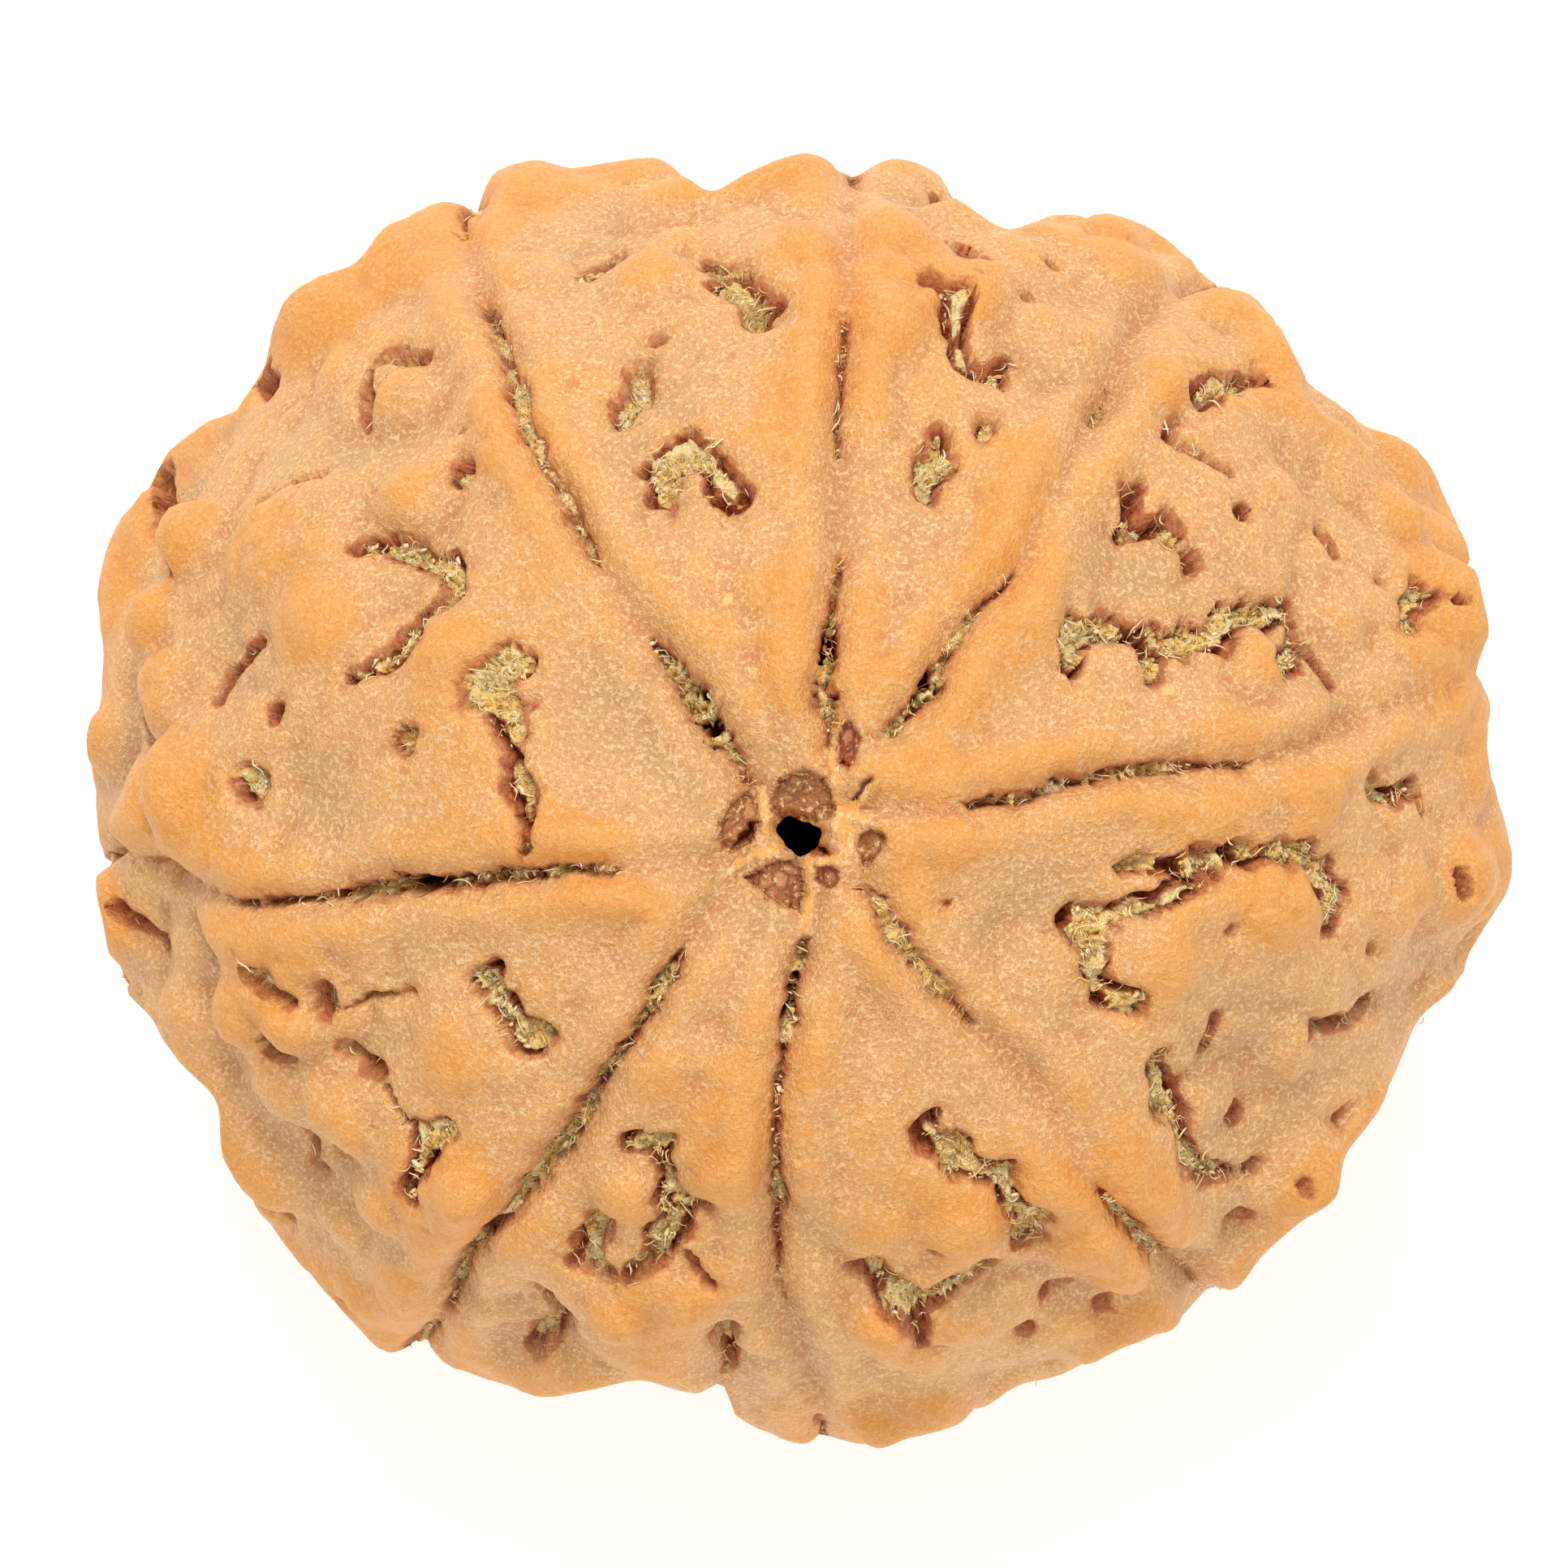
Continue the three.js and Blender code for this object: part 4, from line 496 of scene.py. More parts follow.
def rimRadius(turn):
    # the outline, rounded through its knots
    turns, radii = np.array(rimTurns).T
    count = len(turns)
    after = np.searchsorted(turns, turn, side="right") % count
    a, b, c, d = (radii[(after + k) % count] for k in (-2, -1, 0, 1))
    gap = (turns[after] - turns[(after - 1) % count]) % (2 * math.pi)
    t = ((turn - turns[(after - 1) % count]) % (2 * math.pi)) / gap
    return b + 0.5 * t * (c - a + t * (2 * a - 5 * b + 4 * c - d + t * (3 * (b - c) + d - a)))


def fromMouth(p):
    return p[:, 0] - stone["channelAt"][0], p[:, 1] - stone["channelAt"][1]


def standing(p, rise):
    # nothing at the worn foot, all of it from a little above
    return smooth(footLevel, footLevel + rise, p[:, 2])


def raised(p, cleftAway):
    # knobs, welts and waves, without furrows
    height = np.zeros(len(p))
    for pull, start, high in swells:
        height += high * np.sin(p @ pull + start)
    for at, wide, high in knobSpots:
        away = np.linalg.norm(p - at, axis=1) / wide
        close = away < 2.2
        height[close] += high * bell(away[close] ** 2 * 0.8 + away[close] * 0.2)
    ripple = 0.75 + 0.25 * np.sin(1.9 * p[:, 0] + 2.3 * p[:, 1] + 1.1 * p[:, 2])
    height += stone["lipHeight"] * ripple * bell((cleftAway - stone["lipOffset"]) / stone["lipSpread"])
    height -= stone["cleftSink"] * bell(cleftAway / 0.3)
    mouth = np.hypot(*fromMouth(p))
    height -= stone["dimpleDepth"] * bell(mouth / 1.9) + stone["beltSink"] * bell(p[:, 2] / 4.5)
    return height * standing(p, stone["footRise"][0])


def fineRelief(p, cleftAway):
    # soft unevenness, and small lumps with sharp valleys on the sides and towards the rim
    fine = np.array([noise.noise(Vector(v) * 1.1) * 0.08 + noise.noise(Vector(v) * 2.7) * 0.05
                     + noise.noise(Vector(v) * 7.0) * 0.014 for v in p])
    lumps = np.array([math.hypot(noise.noise(Vector(v) * 0.6), 0.06)
                      + 0.4 * abs(noise.noise(Vector(v) * 1.5)) for v in p])
    clear = smooth(0.25, 0.7, cleftAway)
    outer = smooth(4.5, 8.5, np.hypot(*fromMouth(p))) * clear
    lumpy = stone["lumps"] * (np.minimum(lumps, 0.45) - 0.25) * np.where(p[:, 2] < 0, clear, outer)
    return fine + lumpy


def rimKnob(p):
    # how far the outline lies past the body, and its share of the form along a wavy belt
    turn = np.arctan2(p[:, 1], p[:, 0])
    extra = rimRadius(turn) - np.hypot(p[:, 0], p[:, 1])
    middle = 1.3 * np.sin(3 * turn + 1) + 0.9 * np.sin(8 * turn + 2)
    belt = np.where(extra > 0, 1, 2) * stone["beltHeight"]
    return extra, bell((p[:, 2] - middle) / belt)


def sway(v):
    # a step that is the same in every run, which noise_vector isn't
    return [noise.noise(v), noise.noise(v + Vector((31, 17, 5))), noise.noise(v + Vector((7, 43, 29)))]


def wander(p):
    # lets every furrow edge waver a little, and its width swell and shrink
    swell = np.array([1 + furrow["swell"] * noise.noise(Vector(v) * 2.4 + Vector((5, 1, 8))) for v in p])
    broad = np.array([sway(Vector(v) * 2.1) for v in p])
    close = np.array([sway(Vector(v) * 6.5) for v in p])
    return p + broad * furrow["waver"][0] + close * furrow["waver"][1], swell


def outlineGap(p, ring):
    # distance to an outline read in plan, below zero inside it, and the way out
    x, y = p[:, 0], p[:, 1]
    away, way = np.full(len(p), 99.0), np.zeros((len(p), 3))
    inside = np.zeros(len(p), bool)
    for (ax, ay), (bx, by) in zip(ring, ring[1:] + ring[:1]):
        legX, legY = bx - ax, by - ay
        t = np.clip(((x - ax) * legX + (y - ay) * legY) / (legX ** 2 + legY ** 2), 0, 1)
        dx, dy = x - ax - t * legX, y - ay - t * legY
        d = np.hypot(dx, dy)
        closer = d < away
        away[closer], way[closer, 0], way[closer, 1] = d[closer], dx[closer], dy[closer]
        crosses = (ay > y) != (by > y)
        inside ^= crosses & (x < ax + (y - ay) * legX / (legY or 1))
    sign = np.where(inside, -1, 1)
    return away * sign, way * (sign / np.maximum(away, 1e-6))[:, None]


def web(p):
    # dried pulp as a lacy web: 1 on its threads, 0 in the holes between
    first = np.array([abs(noise.noise(Vector(v) * 4.2)) for v in p])
    second = np.array([abs(noise.noise(Vector(v) * 6.1 + Vector((9, 4, 7)))) for v in p])
    return 1 - smooth(0.02, 0.2, np.minimum(first, second * 1.2))


def wallOf(wide):
    return np.minimum(furrow["wall"], furrow["wallShare"] * wide)


def mouthEdge(p):
    # the ragged edge of the channel's mouth
    x, y = fromMouth(p)
    turn = np.arctan2(y, x)
    ragged = 1 + 0.16 * np.sin(2 * turn + 2.6) + 0.1 * np.sin(3 * turn + 0.4) + 0.06 * np.sin(7 * turn)
    return np.hypot(x, y), stone["channelRadius"] * ragged


def relief(p):
    # every figure a point needs: where it ends up, and what its surface is like
    q, swell = wander(p)
    kinds = ("cut", "wall", "inside", "window", "red", "pulp", "green", "lace", "septum", "patch", "crest")
    looks = {name: np.zeros(len(p)) for name in kinds}
    cleftAway = np.full(len(p), 99.0)
    slow = np.array([noise.noise(Vector(v) * 1.7 + Vector((3, 8, 5))) for v in p])

    def dig(chosen, near, shoulder, green, pulp=None):
        # sinks one furrow; a cleft has no pulp figure of its own
        away, wide, deep = near[:3]
        gap = away - wide * swell[chosen]
        close = gap < furrow["reach"]
        chosen, gap, wide, deep = chosen[close], gap[close], wide[close], deep[close]
        part = 1 - smooth(-wallOf(wide), furrow["edge"], gap)
        within = part > 0
        lace = np.zeros(len(gap))
        lace[within] = web(q[chosen[within]])
        bareShare, redness = furrow["bareShare"], 0.95
        if pulp is None:
            # clefts stay open only where they are deepest
            bareShare, redness = furrow["bareInClefts"], 0.65
            pulp = 0.95 * (1 - smooth(1.02, 1.1, deep + slow[chosen] * 0.55 - lace * 0.12))
        lumpy = 0.62 + 0.3 * lace + 0.4 * slow[chosen]
        # the pulp has shrunk away from the wall, here and there by more
        bare = np.minimum(0.45 * np.maximum(slow[chosen] - 0.04, 0), bareShare * wide)
        covered = pulp * smooth(0.01, 0.08, -gap - bare)
        dug = deep * (1 - np.clip(covered * lumpy, 0, furrow["fullest"])) * part
        dug = dug + np.minimum(shoulder, deep * 0.3) * bell(np.maximum(gap, 0) / 0.15)
        deeper = dug > looks["cut"][chosen]
        strong = smooth(0.1, 0.35, deep)
        fromWall = np.maximum(np.abs(gap + 0.035 + bare / 2) - bare / 2, 0)
        wallLook = strong * redness * bell(fromWall / 0.062)
        for name, value in (("cut", dug), ("wall", wallLook), ("inside", part * strong),
                            ("pulp", part * covered), ("green", part * green), ("lace", lace)):
            looks[name][chosen[deeper]] = value[deeper]

    for route in cleftRoutes:
        near = nearest(q, route)
        cleftAway = np.minimum(cleftAway, near[0])
        dig(np.arange(len(p)), near, 0.07, 0.35)
    for route, (pulp, green) in zip(pitRoutes, pulpOf):
        dig(*nearby(q, route, 0.7), 0.1, green, pulp)
    upper = np.flatnonzero(p[:, 2] > 4)
    for deep, red, ring in chambers:
        gap = outlineGap(q[upper], ring)[0]
        part = 1 - smooth(-0.07, 0.01, gap)
        deeper = deep * part > looks["cut"][upper]
        for name, value in (("cut", deep * part), ("window", part), ("red", part * red),
                            ("wall", bell((gap + 0.02) / 0.06))):
            looks[name][upper[deeper]] = value[deeper]
    for route in septumRoutes:
        away, wide = nearest(q[upper], route)[:2]
        strip = 1 - smooth(-0.02, 0.04, away - wide)
        looks["septum"][upper] = np.maximum(looks["septum"][upper], strip)
    for x, y, size in patches:
        spot = lift(x, y)
        ragged = np.linalg.norm(q[upper] - spot, axis=1) * (1 + 0.9 * slow[upper])
        looks["patch"][upper] = np.maximum(looks["patch"][upper], 1 - smooth(size * 0.5, size, ragged))
    looks["cut"] *= 1 - 0.85 * looks["septum"]
    extra, share = rimKnob(p)
    height = raised(p, cleftAway) + 0.05 * looks["septum"]
    fine = fineRelief(p, cleftAway)
    mouth, edge = mouthEdge(p)
    funnel = 0.3 * bell(np.maximum(mouth - edge, 0) / 0.09) * np.sign(p[:, 2] + 1)
    looks["cut"] *= standing(p, stone["footRise"][1])
    side = p * [1, 1, 0]
    side /= np.maximum(np.linalg.norm(side, axis=1), 1e-9)[:, None]
    up = height * (1 - share) + fine * standing(p, stone["footRise"][0])
    up = up - looks["cut"] - np.maximum(funnel, 0)
    end = p + outward(p) * up[:, None] + side * (extra * share)[:, None]
    # nothing stands out past the outline by more than a little
    reach = np.hypot(end[:, 0], end[:, 1])
    past = reach - (rimRadius(np.arctan2(end[:, 1], end[:, 0])) - 0.06)
    kept = np.where(past > 0, 0.12 * past + 0.06 * (1 - np.exp(-np.maximum(past, 0) / 0.06)), past)
    end[:, :2] *= (1 - (past - kept) / np.maximum(reach, 1e-6))[:, None]
    end[:, 2] = np.maximum(end[:, 2], footLevel)
    looks["crest"] = height * (1 - share) + extra * share + fine
    return end, looks


def coordinates(bm):
    bm.verts.ensure_lookup_table()
    return np.array([v.co for v in bm.verts])


def furrowGap(p):
    # distance to the nearest furrow edge (below zero inside one), its wall, and the way across
    gap, wall, across = np.full(len(p), 9.0), np.full(len(p), furrow["wall"]), np.zeros((len(p), 3))
    q, swell = wander(p)
    for route in cleftRoutes + pitRoutes:
        chosen, (away, wide, deep, offset) = nearby(q, route, 1.2)
        wide = wide * swell[chosen]
        closer = (deep > 0.14) & (away - wide < gap[chosen])
        gap[chosen[closer]] = (away - wide)[closer]
        wall[chosen[closer]] = wallOf(wide)[closer]
        across[chosen[closer]] = (offset / np.maximum(away, 1e-6)[:, None])[closer]
    centre = np.flatnonzero((p[:, 2] > 4) & (np.hypot(p[:, 0], p[:, 1] + 0.4) < 3))
    for deep, red, ring in chambers:
        edgeGap, way = outlineGap(q[centre], ring)
        closer = edgeGap < gap[centre]
        gap[centre[closer]] = edgeGap[closer]
        wall[centre[closer]] = 0.07
        across[centre[closer]] = way[closer]
    return gap, wall, across


def splitEdges(bm):
    # rounds of splitting until the facets are fine enough where the furrows need it
    for stage in range(stone["splitRounds"]):
        at = onBody(coordinates(bm))
        for vert, co in zip(bm.verts, at):
            vert.co = co
        ends = np.array([(e.verts[0].index, e.verts[1].index) for e in bm.edges])
        middle = (at[ends[:, 0]] + at[ends[:, 1]]) / 2
        length = np.linalg.norm(at[ends[:, 0]] - at[ends[:, 1]], axis=1)
        gap, wall = furrowGap(middle)[:2]
        mouth, edge = mouthEdge(middle)
        upper = middle[:, 2] > stone["upperSide"]
        wanted = np.where(upper, stone["edgeTop"], stone["edgeSide"])
        wanted = np.where(upper & (gap < 0.3), stone["edgeBeside"], wanted)
        wanted = np.where(upper & (gap < 0.12) & (gap > -wall - 0.1), stone["edgeWall"], wanted)
        wanted = np.where(~upper & (gap < 0.25) & (gap > -0.25), stone["edgeSidePit"], wanted)
        wanted = np.where(upper & (gap < -wall), stone["edgeFloor"], wanted)
        wanted = np.where(upper & (mouth < 1.5) & (gap < 0.15), stone["edgeCentre"], wanted)
        wanted = np.where(np.abs(mouth - edge) < 0.2, stone["edgeRing"], wanted)
        marked = [e for e, split in zip(bm.edges, length > wanted * 1.34) if split]
        print("stone stage", stage, len(bm.faces), "facets,", len(marked), "edges to split")
        if not marked:
            break
        bmesh.ops.subdivide_edges(bm, edges=marked, cuts=1, use_grid_fill=True)
        bmesh.ops.triangulate(bm, faces=[f for f in bm.faces if len(f.verts) > 3])


def snapCorners(at):
    # corners near a furrow's edge or floor line move onto it, so that walls come out clean
    for again in range(2):
        gap, wall, across = furrowGap(at)
        toEdge, toFloor = furrow["edge"] - gap, -wall - gap
        shift = np.where(np.abs(toEdge) < np.abs(toFloor), toEdge, toFloor)
        shift = np.where(np.abs(shift) < stone["snap"], shift, 0)
        at = onBody(at + across * shift[:, None])
    mouth, edge = mouthEdge(at)
    close = np.abs(mouth - edge) < stone["snap"]
    centre = np.array(stone["channelAt"])
    at[close, :2] = centre + (at[close, :2] - centre) * (edge / np.maximum(mouth, 1e-6))[close, None]
    return at


def measureHollows(bm):
    # how hollow the surface is at each corner, for painted shade in the hollows and painted light on the
    # bulges
    bm.normal_update()
    hollow = bm.verts.layers.float.new("hollow")
    for vert in bm.verts:
        around = [edge.other_vert(vert).co for edge in vert.link_edges]
        step = sum(around, Vector()) / len(around) - vert.co
        size = sum((co - vert.co).length_squared for co in around) / len(around)
        vert[hollow] = step.dot(vert.normal) / size / 1000


def cutChannel(bm, at):
    # what lies inside the channel's two mouths goes, and a tube joins them
    mouth, edge = mouthEdge(at)
    inside = mouth < edge + 0.001
    hole = [f for f in bm.faces if all(inside[v.index] for v in f.verts)]
    bmesh.ops.delete(bm, geom=hole, context="FACES")
    loose = [v for v in bm.verts if not v.link_faces]
    bmesh.ops.delete(bm, geom=loose, context="VERTS")
    rims = [e for e in bm.edges if len(e.link_faces) == 1]
    bmesh.ops.bridge_loops(bm, edges=rims)
    bmesh.ops.triangulate(bm, faces=[f for f in bm.faces if len(f.verts) > 3])
    bmesh.ops.dissolve_degenerate(bm, dist=0.000004, edges=bm.edges)
    bmesh.ops.triangulate(bm, faces=[f for f in bm.faces if len(f.verts) > 3])
    bmesh.ops.recalc_face_normals(bm, faces=bm.faces)


def asMesh(bm, name):
    mesh = bpy.data.meshes.new(name)
    bm.to_mesh(mesh)
    bm.free()
    return mesh


def asPiece(bm, name):
    for face in bm.faces:
        face.smooth = True
    piece = bpy.data.objects.new(name, asMesh(bm, name))
    bpy.context.collection.objects.link(piece)
    print(name, len(piece.data.polygons), "facets")
    return piece


def buildStone():
    bm = bmesh.new()
    bmesh.ops.create_icosphere(bm, subdivisions=6, radius=1)
    splitEdges(bm)
    at = snapCorners(onBody(coordinates(bm)))
    end, looks = relief(at)
    for vert, co in zip(bm.verts, (end + [0, 0, -footLevel]) / 1000):
        vert.co = co
    for name, values in looks.items():
        layer = bm.verts.layers.float.new(name)
        for vert, value in zip(bm.verts, values):
            vert[layer] = value
    measureHollows(bm)
    cutChannel(bm, at)
    return asPiece(bm, "stone_skin")


fibres = {
    "seed": 11,
    "thickness": 0.03,         # of one strand, mm
    "shapes": 14,              # differently bent strands to choose from
    "crumbShapes": 6,
    "perMm": 5.5,              # strands along one millimetre of a full pit 0.25 mm in half width
    "inClefts": 8,             # strands along one millimetre of a cleft
    "onSides": 0.4,            # share of them that pits low on the side get
    "crumbs": 3.2,             # crumbs for each strand in a pit
    "crumbsInClefts": 0.4,     # share of them in clefts
    "crumbSize": (0.04, 0.11),
}


def strandShape(rng):
    # a thin three-sided rod one unit long, bent, thinner at its ends
    bm = bmesh.new()
    bmesh.ops.create_cone(bm, cap_ends=True, segments=3, radius1=0.5, radius2=0.5, depth=1)
    lengthwise = [e for e in bm.edges if abs(e.verts[0].co.z - e.verts[1].co.z) > 0.5]
    bmesh.ops.subdivide_edges(bm, edges=lengthwise, cuts=4)
    bend, swing, phase = rng.uniform(-4, 4), rng.uniform(-2.4, 2.4), rng.uniform(0, 6.3)
    for vert in bm.verts:
        t = vert.co.z * 2
        taper = 1 - 0.7 * abs(t) ** 2.5
        vert.co.x = vert.co.x * taper + bend * t * t + swing * math.sin(4 * t + phase)
        vert.co.y = vert.co.y * taper + swing * math.cos(3.1 * t + phase)
    bmesh.ops.triangulate(bm, faces=bm.faces)
    return bm


def crumbShape(rng):
    # a rough ball one unit wide, flattened later where it is placed
    bm = bmesh.new()
    bmesh.ops.create_icosphere(bm, subdivisions=1, radius=0.5)
    for vert in bm.verts:
        vert.co *= rng.uniform(0.6, 1.3)
    return bm


def fibrePlaces(rng):
    # for every strand: a spot on the plain body, its way along the furrow, and its kind
    places = []
    full = [(route, pulp, green, False) for route, (pulp, green) in zip(pitRoutes, pulpOf)]
    full += [(route, 0.6, 0.35, True) for route in cleftRoutes]
    for route, pulp, green, isCleft in full:
        spots, wides, deeps = route
        for i in range(max(len(spots) - 1, 1)):
            j = min(i + 1, len(spots) - 1)
            length = np.linalg.norm(spots[j] - spots[i]) + (0 if isCleft else wides[i])
            deep = (deeps[i] + deeps[j]) / 2
            if deep < 0.25 or pulp == 0 or (isCleft and spots[i][2] < 1):
                continue
            wide = (wides[i] + wides[j]) / 2
            rate = fibres["inClefts"] if isCleft else fibres["perMm"] * (0.2 + pulp) * wide / 0.25
            if spots[i][2] < 2:
                rate *= fibres["onSides"]
            ahead = spots[j] - spots[i] if j > i else np.cross(outward(spots[i:i + 1])[0], [0.3, 1, 0])
            ahead = ahead / np.linalg.norm(ahead)
            for k in range(int(length * rate + rng.random())):
                at = spots[i] + (spots[j] - spots[i]) * rng.uniform(-0.1, 1.1)
                places.append((at, ahead, wide, green, isCleft))
    return places


def gather(name, copies):
    # one mesh from many placed copies, with a tone for each and how green it is
    bm = bmesh.new()
    tones, greens = [], []
    for shape, place, tone, green in copies:
        copy = shape.copy()
        copy.transform(place)
        bm.from_mesh(copy)
        bpy.data.meshes.remove(copy)
        tones += [tone] * len(shape.vertices)
        greens += [green] * len(shape.vertices)
    piece = asPiece(bm, name)
    for layer, values in (("tone", tones), ("green", greens)):
        piece.data.attributes.new(layer, "FLOAT", "POINT").data.foreach_set("value", values)
    return piece


def buildFibres():
    rng = random.Random(fibres["seed"])
    strands = [asMesh(strandShape(rng), "strand") for i in range(fibres["shapes"])]
    crumbs = [asMesh(crumbShape(rng), "crumb") for i in range(fibres["crumbShapes"])]
    places = fibrePlaces(rng)
    base = onBody(np.array([place[0] for place in places]))
    out = outward(base)
    along = np.array([place[1] for place in places])
    across = np.cross(along, out)
    across /= np.linalg.norm(across, axis=1)[:, None]
    offset = np.array([rng.uniform(-0.95, 0.95) * place[2] for place in places])
    end, looks = relief(onBody(base + across * offset[:, None]))
    rise = Vector((0, 0, -footLevel))
    threads, bits = [], []
    for i, (wide, green, isCleft) in enumerate(place[2:] for place in places):
        cut, full = looks["cut"][i], looks["pulp"][i] > 0.3
        if cut < 0.05 or (isCleft and not full and rng.random() < 0.5):
            continue
        # outwards, along and sideways; then one of three kinds: across the furrow, along it, sticking out
        n, a, s = Vector(out[i]), Vector(along[i]), Vector(across[i])
        kind = rng.random()
        if kind < 0.45:
            way = s * rng.choice((-1, 1)) + a * rng.gauss(0, 0.7) + n * rng.gauss(0, 0.2)
            length = rng.uniform(0.5, 1.5) * wide + 0.06
        elif kind < 0.88:
            way = a + s * rng.gauss(0, 0.5) + n * rng.gauss(0, 0.15)
            length = rng.uniform(0.15, 0.45)
        else:
            way = a * rng.gauss(0, 1) + s * rng.gauss(0, 1) + n * rng.uniform(0.2, 0.9)
            length = rng.uniform(0.1, 0.26)
        level = rng.uniform(0, 0.5) if full else rng.uniform(0.2, 0.75)
        if isCleft:
            level *= 0.7
        centre = (Vector(end[i]) + n * (cut * level + 0.004) + rise) / 1000
        thick = fibres["thickness"] * rng.uniform(0.6, 1.4) / 1000
        turn = way.to_track_quat("Z", "Y").to_matrix() @ Matrix.Rotation(rng.uniform(0, 6.3), 3, "Z")
        place = Matrix.Translation(centre) @ turn.to_4x4() @ Matrix.Diagonal((thick, thick, length / 1000, 1))
        threads.append((rng.choice(strands), place, rng.random(), green))
        if not full:
            continue
        share = fibres["crumbsInClefts"] if isCleft else 1
        for k in range(int(fibres["crumbs"] * share + rng.random())):
            # crumbs lie on the pulp a little way off
            size = rng.uniform(*fibres["crumbSize"]) / 1000
            step = a * rng.gauss(0, 0.08) + s * rng.gauss(0, 0.04) + n * rng.uniform(-0.03, 0.012)
            flake = (size, size * rng.uniform(0.25, 0.6), size * rng.uniform(0.8, 1.8), 1)
            place = Matrix.Translation((Vector(end[i]) + step + rise) / 1000) @ turn.to_4x4()
            bits.append((rng.choice(crumbs), place @ Matrix.Diagonal(flake), rng.random(), green))
    return gather("pulp_fibres", threads), gather("pulp_crumbs", bits)


class Sock:
    # a socket with arithmetic: expressions on values add Math nodes
    def __init__(self, tree, socket):
        self.tree, self.socket = tree, socket

    def math(self, operation, first, second):
        node = self.tree.nodes.new("ShaderNodeMath")
        node.operation = operation
        for slot, value in zip(node.inputs, (first, second)):
            if isinstance(value, Sock):
                self.tree.links.new(value.socket, slot)
            else:
                slot.default_value = value
        return Sock(self.tree, node.outputs[0])

    def __add__(self, other):
        return self.math("ADD", self, other)

    def __sub__(self, other):
        return self.math("SUBTRACT", self, other)

    def __rsub__(self, other):
        return self.math("SUBTRACT", other, self)

    def __mul__(self, other):
        return self.math("MULTIPLY", self, other)

    __radd__, __rmul__ = __add__, __mul__


class Finish:
    # one material: node() adds any node by type, settings and inputs
    def __init__(self, name, roughness, **uniform):
        self.material = bpy.data.materials.new(name)
        self.material.use_nodes = True
        self.tree = self.material.node_tree
        self.shader = self.tree.nodes["Principled BSDF"]
        self.shader.inputs["Roughness"].default_value = roughness
        for socket, value in uniform.items():
            self.shader.inputs[socket].default_value = value
        self.place = self.node("ShaderNodeTexCoord", {}, {}, "Object")

    def node(self, kind, settings, inputs, output=0):
        node = self.tree.nodes.new(kind)
        for key, value in settings.items():
            setattr(node, key, value)
        for key, value in inputs.items():
            if isinstance(value, Sock):
                self.tree.links.new(value.socket, node.inputs[key])
            else:
                node.inputs[key].default_value = value
        return Sock(self.tree, node.outputs[output])

    def noise(self, perMm, detail=2, rough=0.5):
        return self.node("ShaderNodeTexNoise", {}, {"Vector": self.place, "Scale": perMm * 1000,
                                                    "Detail": detail, "Roughness": rough})

    def attributes(self, names):
        return [self.node("ShaderNodeAttribute", {"attribute_name": name}, {}, "Fac")
                for name in names.split()]

    def band(self, value, low, high):
        return self.node("ShaderNodeMapRange", {"interpolation_type": "SMOOTHSTEP"},
                         {"Value": value, "From Min": low, "From Max": high})

    def mix(self, amount, first, second):
        # the colour sockets of a Mix node are the seventh and eighth
        return self.node("ShaderNodeMix", {"data_type": "RGBA"}, {0: amount, 6: first, 7: second}, 2)

    def set(self, socket, value):
        self.tree.links.new(value.socket, self.shader.inputs[socket])

    def bump(self, height, distance, after=None):
        inputs = {"Height": height, "Distance": distance, "Strength": 1.0}
        if after:
            inputs["Normal"] = after
        return self.node("ShaderNodeBump", {}, inputs)


def shade(red, green, blue):
    # a colour picked on screen, 0 to 255, as the linear value a shader takes
    part = [c / 255 for c in (red, green, blue)]
    linear = [c / 12.92 if c <= 0.04 else ((c + 0.055) / 1.055) ** 2.4 for c in part]
    return (*linear, 1.0)


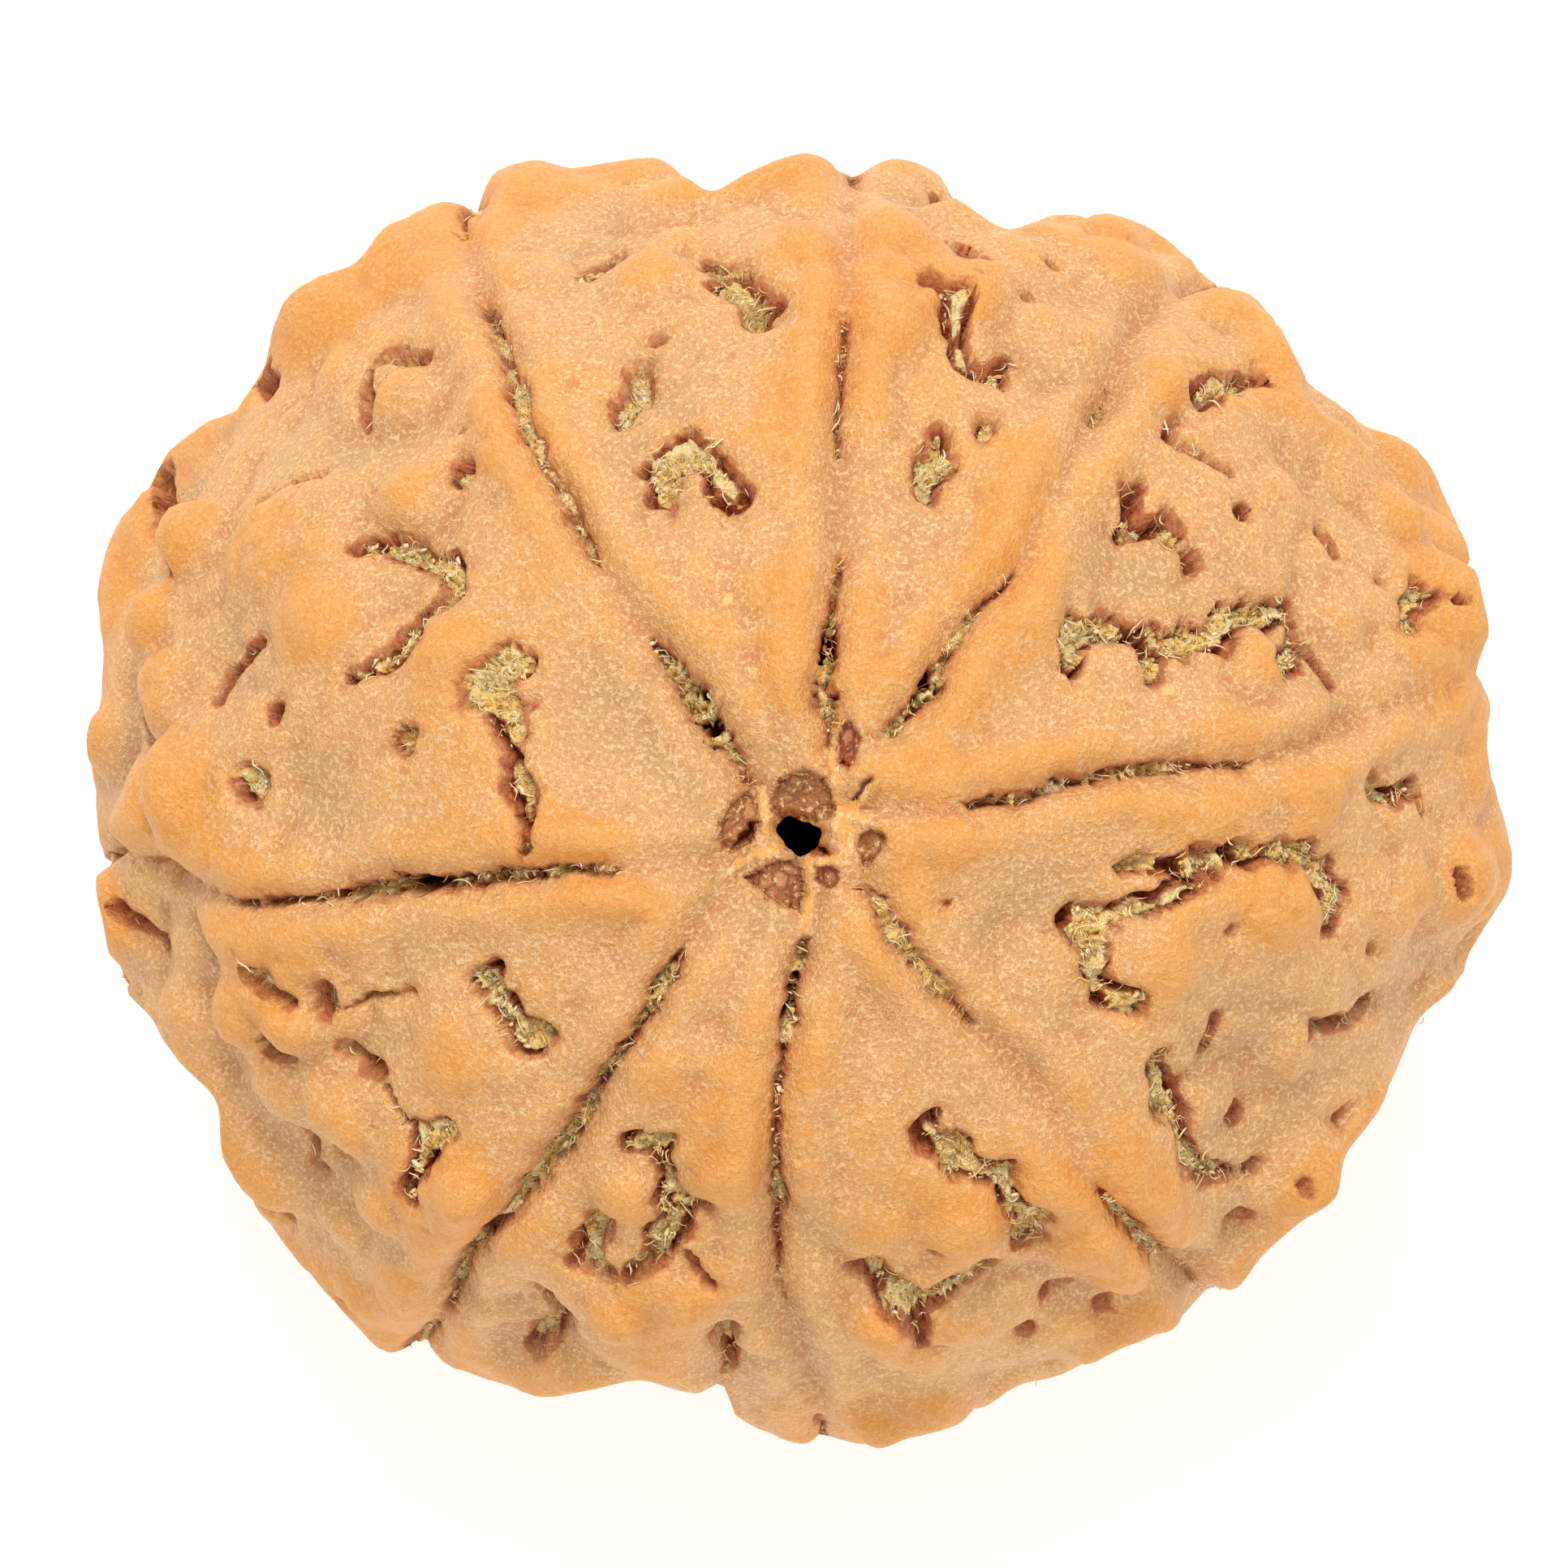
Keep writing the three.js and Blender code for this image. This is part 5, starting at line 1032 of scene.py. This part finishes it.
def stoneFinish():
    f = Finish("stone_skin", 0.5, **{"Specular IOR Level": 0.35})
    cut, wall, inside, crest, window, red = f.attributes("cut wall inside crest window red")
    pulp, green, lace, septum, patch, hollow = f.attributes("pulp green lace septum patch hollow")
    broad = f.noise(0.28, 3)
    mottle = f.noise(1.3, 5, 0.65)
    cloud = f.noise(0.7, 3, 0.6)
    grain = f.noise(12.0, 2, 0.6)
    sugar = f.noise(26.0, 1, 0.5)
    fleck = f.noise(5.0, 3, 0.65)

    # the open surface: orange on welts and knobs, tan between, painted shade browner in hollows, painted
    # light on bulges, pale specks
    high = f.band(crest + (mottle - 0.5) * 0.5, 0.02, 0.36)
    colour = f.mix(high, shade(229, 172, 108), shade(236, 158, 70))
    colour = f.mix(f.band(cloud, 0.52, 0.66) * 0.5, colour, shade(240, 170, 86))
    colour = f.mix(f.band(1 - mottle, 0.5, 0.68) * 0.45, colour, shade(218, 160, 108))
    low = f.band(0 - crest + (broad - 0.5) * 0.5, 0.0, 0.32)
    colour = f.mix(low * 0.55, colour, shade(196, 154, 110))
    # painted shade: hollows are painted a darker orange-brown
    colour = f.mix(f.band(hollow + (mottle - 0.5) * 0.3, 0.1, 0.8) * 0.5, colour, shade(208, 132, 74))
    # painted light: bulges are painted a lighter orange
    colour = f.mix(f.band(0 - hollow, 0.05, 0.5) * 0.35, colour, shade(244, 178, 100))
    speckle = f.band(grain, 0.48, 0.64) * (1 - high * 0.6)
    colour = f.mix(speckle * 0.7, colour, shade(252, 212, 160))
    pores = f.band(1 - sugar, 0.5, 0.66) * (1 - high * 0.4)
    colour = f.mix(pores * 0.45, colour, shade(196, 120, 64))
    colour = f.mix(f.band(patch + (fleck - 0.5) * 1.2, 0.4, 0.7) * 0.8, colour, shade(250, 206, 130))

    # furrows: a red-brown wall, and pulp from brown in its holes, a painted shade, to cream on its threads,
    # with painted highlights
    bare = f.mix(f.band(mottle, 0.4, 0.6), shade(136, 60, 30), shade(200, 116, 68))
    flesh = f.mix(f.band(mottle * 0.5 + fleck * 0.5, 0.42, 0.58), shade(255, 208, 118), shade(255, 232, 168))
    olive = f.mix(f.band(fleck, 0.4, 0.6), shade(214, 174, 102), shade(242, 212, 144))
    flesh = f.mix(f.band(green + (mottle - 0.5) * 1.4, 0.55, 1.1), flesh, olive)
    # painted shade: the holes of the pulp web are painted brown
    flesh = f.mix(f.band(lace + (fleck - 0.5) * 0.8, -0.16, 0.16), shade(190, 134, 68), flesh)
    # painted highlight: the threads of the pulp web are painted near-white here and there
    flesh = f.mix(f.band(lace * fleck, 0.42, 0.6) * 0.8, flesh, shade(255, 240, 196))
    filling = f.mix(f.band(pulp + (mottle - 0.5) * 0.5, 0.25, 0.6), bare, flesh)
    colour = f.mix(f.band(inside, 0.75, 1.0), colour, filling)
    # painted shade: the deepest parts of a cut are painted near-black
    colour = f.mix(f.band(cut + (fleck - 0.5) * 0.3, 0.62, 0.95), colour, shade(48, 30, 19))
    rust = f.mix(f.band(fleck, 0.42, 0.6), shade(148, 58, 28), shade(200, 112, 66))
    colour = f.mix(f.band(wall + (fleck - 0.5) * 0.9 + (mottle - 0.5) * 1.1, 0.17, 0.66) * 0.9, colour, rust)

    # chambers at the mouth: a thin veined skin, with cream strips between them
    skin = f.mix(red, shade(176, 122, 66), shade(178, 86, 58))
    skin = f.mix(f.band(fleck, 0.44, 0.6), skin, f.mix(red, shade(206, 158, 96), shade(206, 136, 100)))
    veins = f.node("ShaderNodeTexVoronoi", {"feature": "DISTANCE_TO_EDGE"},
                   {"Vector": f.place, "Scale": 4000.0})
    skin = f.mix(f.band(0.3 - veins + (fleck - 0.5) * 0.8, 0.12, 0.34) * 0.75, skin, shade(122, 52, 30))
    skin = f.mix(f.band(f.noise(9.0, 2, 0.6), 0.58, 0.66) * 0.8, skin, shade(246, 214, 150))
    skin = f.mix(f.band(wall + (fleck - 0.5) * 0.5, 0.3, 0.85) * 0.92, skin, shade(116, 38, 24))
    colour = f.mix(f.band(window, 0.15, 0.7), colour, skin)
    strip = f.mix(f.band(fleck, 0.45, 0.65), shade(242, 176, 96), shade(252, 212, 146))
    colour = f.mix(f.band(septum + (fleck - 0.5) * 0.7, 0.4, 0.9), colour, strip)
    f.set("Base Color", colour)
    f.set("Roughness", 0.42 + f.noise(3.0, 3) * 0.2 + speckle * 0.2)
    lumps = f.bump(f.noise(3.2, 3, 0.55), 0.00005)
    f.set("Normal", f.bump(grain + sugar * 0.4 + inside * (fleck + grain) * 2, 0.00004, lumps))
    return f.material


def fibreFinish():
    f = Finish("pulp_fibres", 0.6, **{"Specular IOR Level": 0.3})
    tone, green = f.attributes("tone green")
    patch = f.noise(1.6, 3, 0.6)
    colour = f.mix(f.band(tone, 0.1, 0.7), shade(255, 208, 120), shade(255, 238, 190))
    colour = f.mix(f.band(green + (patch - 0.5) * 1.5, 0.4, 1.0) * 0.35, colour, shade(232, 200, 126))
    colour = f.mix(f.band(0.16 - tone, 0.0, 0.12) * 0.6, colour, shade(184, 112, 56))
    f.set("Base Color", colour)
    f.set("Roughness", 0.5 + tone * 0.25)
    f.set("Normal", f.bump(f.noise(30, 2), 0.000006))
    return f.material


def floorFinish():
    # a pale table that glows a little, but not under the stone, where the missing glow is a painted shadow
    f = Finish("floor", 0.9, **{"Emission Strength": 0.42})
    f.set("Base Color", f.mix(f.noise(0.02, 2), shade(250, 250, 250), shade(247, 247, 246)))
    middle = f.node("ShaderNodeVectorMath", {"operation": "LENGTH"}, {0: f.place}, "Value")
    # painted shadow: no glow within 6 mm of the middle, rising to full glow at 11 mm, under the stone
    f.set("Emission Color", f.mix(f.band(middle, 0.006, 0.011), shade(0, 0, 0), shade(252, 254, 255)))
    return f.material


view = {
    "distance": 0.32,          # lens to the middle of the stone
    "across": 0.014 * 1932 / 1000,     # width of the picture at the stone's belt, metres
    "shift": (19 / 1932, -19 / 1932),  # the stone sits a little right of and below the centre
    "middle": (0.0, 0.0, 0.0100),
    "film": 36,
}


def setCamera():
    camera = bpy.data.cameras.new("camera")
    camera.sensor_width = view["film"]
    camera.lens = view["film"] * view["distance"] / view["across"]
    camera.clip_start, camera.clip_end = 0.01, 10
    camera.shift_x, camera.shift_y = -view["shift"][0], -view["shift"][1]
    rig = bpy.data.objects.new("camera", camera)
    rig.location = Vector(view["middle"]) + Vector((0, 0, view["distance"]))
    bpy.context.collection.objects.link(rig)
    bpy.context.scene.camera = rig


lamps = {
    "key": ((-0.02, 0.2, 0.3), 0.16, 0.76),    # place, width, watts
    "fill": ((0.08, -0.22, 0.28), 0.3, 0.34),
}
roomLight = 0.5


def addLamp(name, at, size, watts):
    lamp = bpy.data.lights.new(name, "AREA")
    lamp.shape, lamp.size, lamp.energy = "DISK", size, watts
    rig = bpy.data.objects.new(name, lamp)
    rig.location = at
    rig.rotation_euler = (Vector(view["middle"]) - Vector(at)).to_track_quat("-Z", "Y").to_euler()
    bpy.context.collection.objects.link(rig)


def setStage():
    bm = bmesh.new()
    bmesh.ops.create_grid(bm, x_segments=4, y_segments=4, size=0.6)
    floor = bpy.data.objects.new("floor", asMesh(bm, "floor"))
    floor.data.materials.append(floorFinish())
    bpy.context.collection.objects.link(floor)
    for name, (at, size, watts) in lamps.items():
        addLamp(name, at, size, watts)
    world = bpy.data.worlds.new("room")
    world.use_nodes = True
    light = world.node_tree.nodes["Background"].inputs
    light["Color"].default_value, light["Strength"].default_value = (1, 1, 1, 1), roomLight
    bpy.context.scene.world = world
    bpy.context.scene.view_settings.view_transform = "Standard"


skin = buildStone()
skin.data.materials.append(stoneFinish())
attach(skin, "root")
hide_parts("stone")
pulpFinish = fibreFinish()
for pulpPiece in buildFibres():
    pulpPiece.data.materials.append(pulpFinish)
    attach(pulpPiece, "root")
setCamera()
setStage()
print("scene ready")
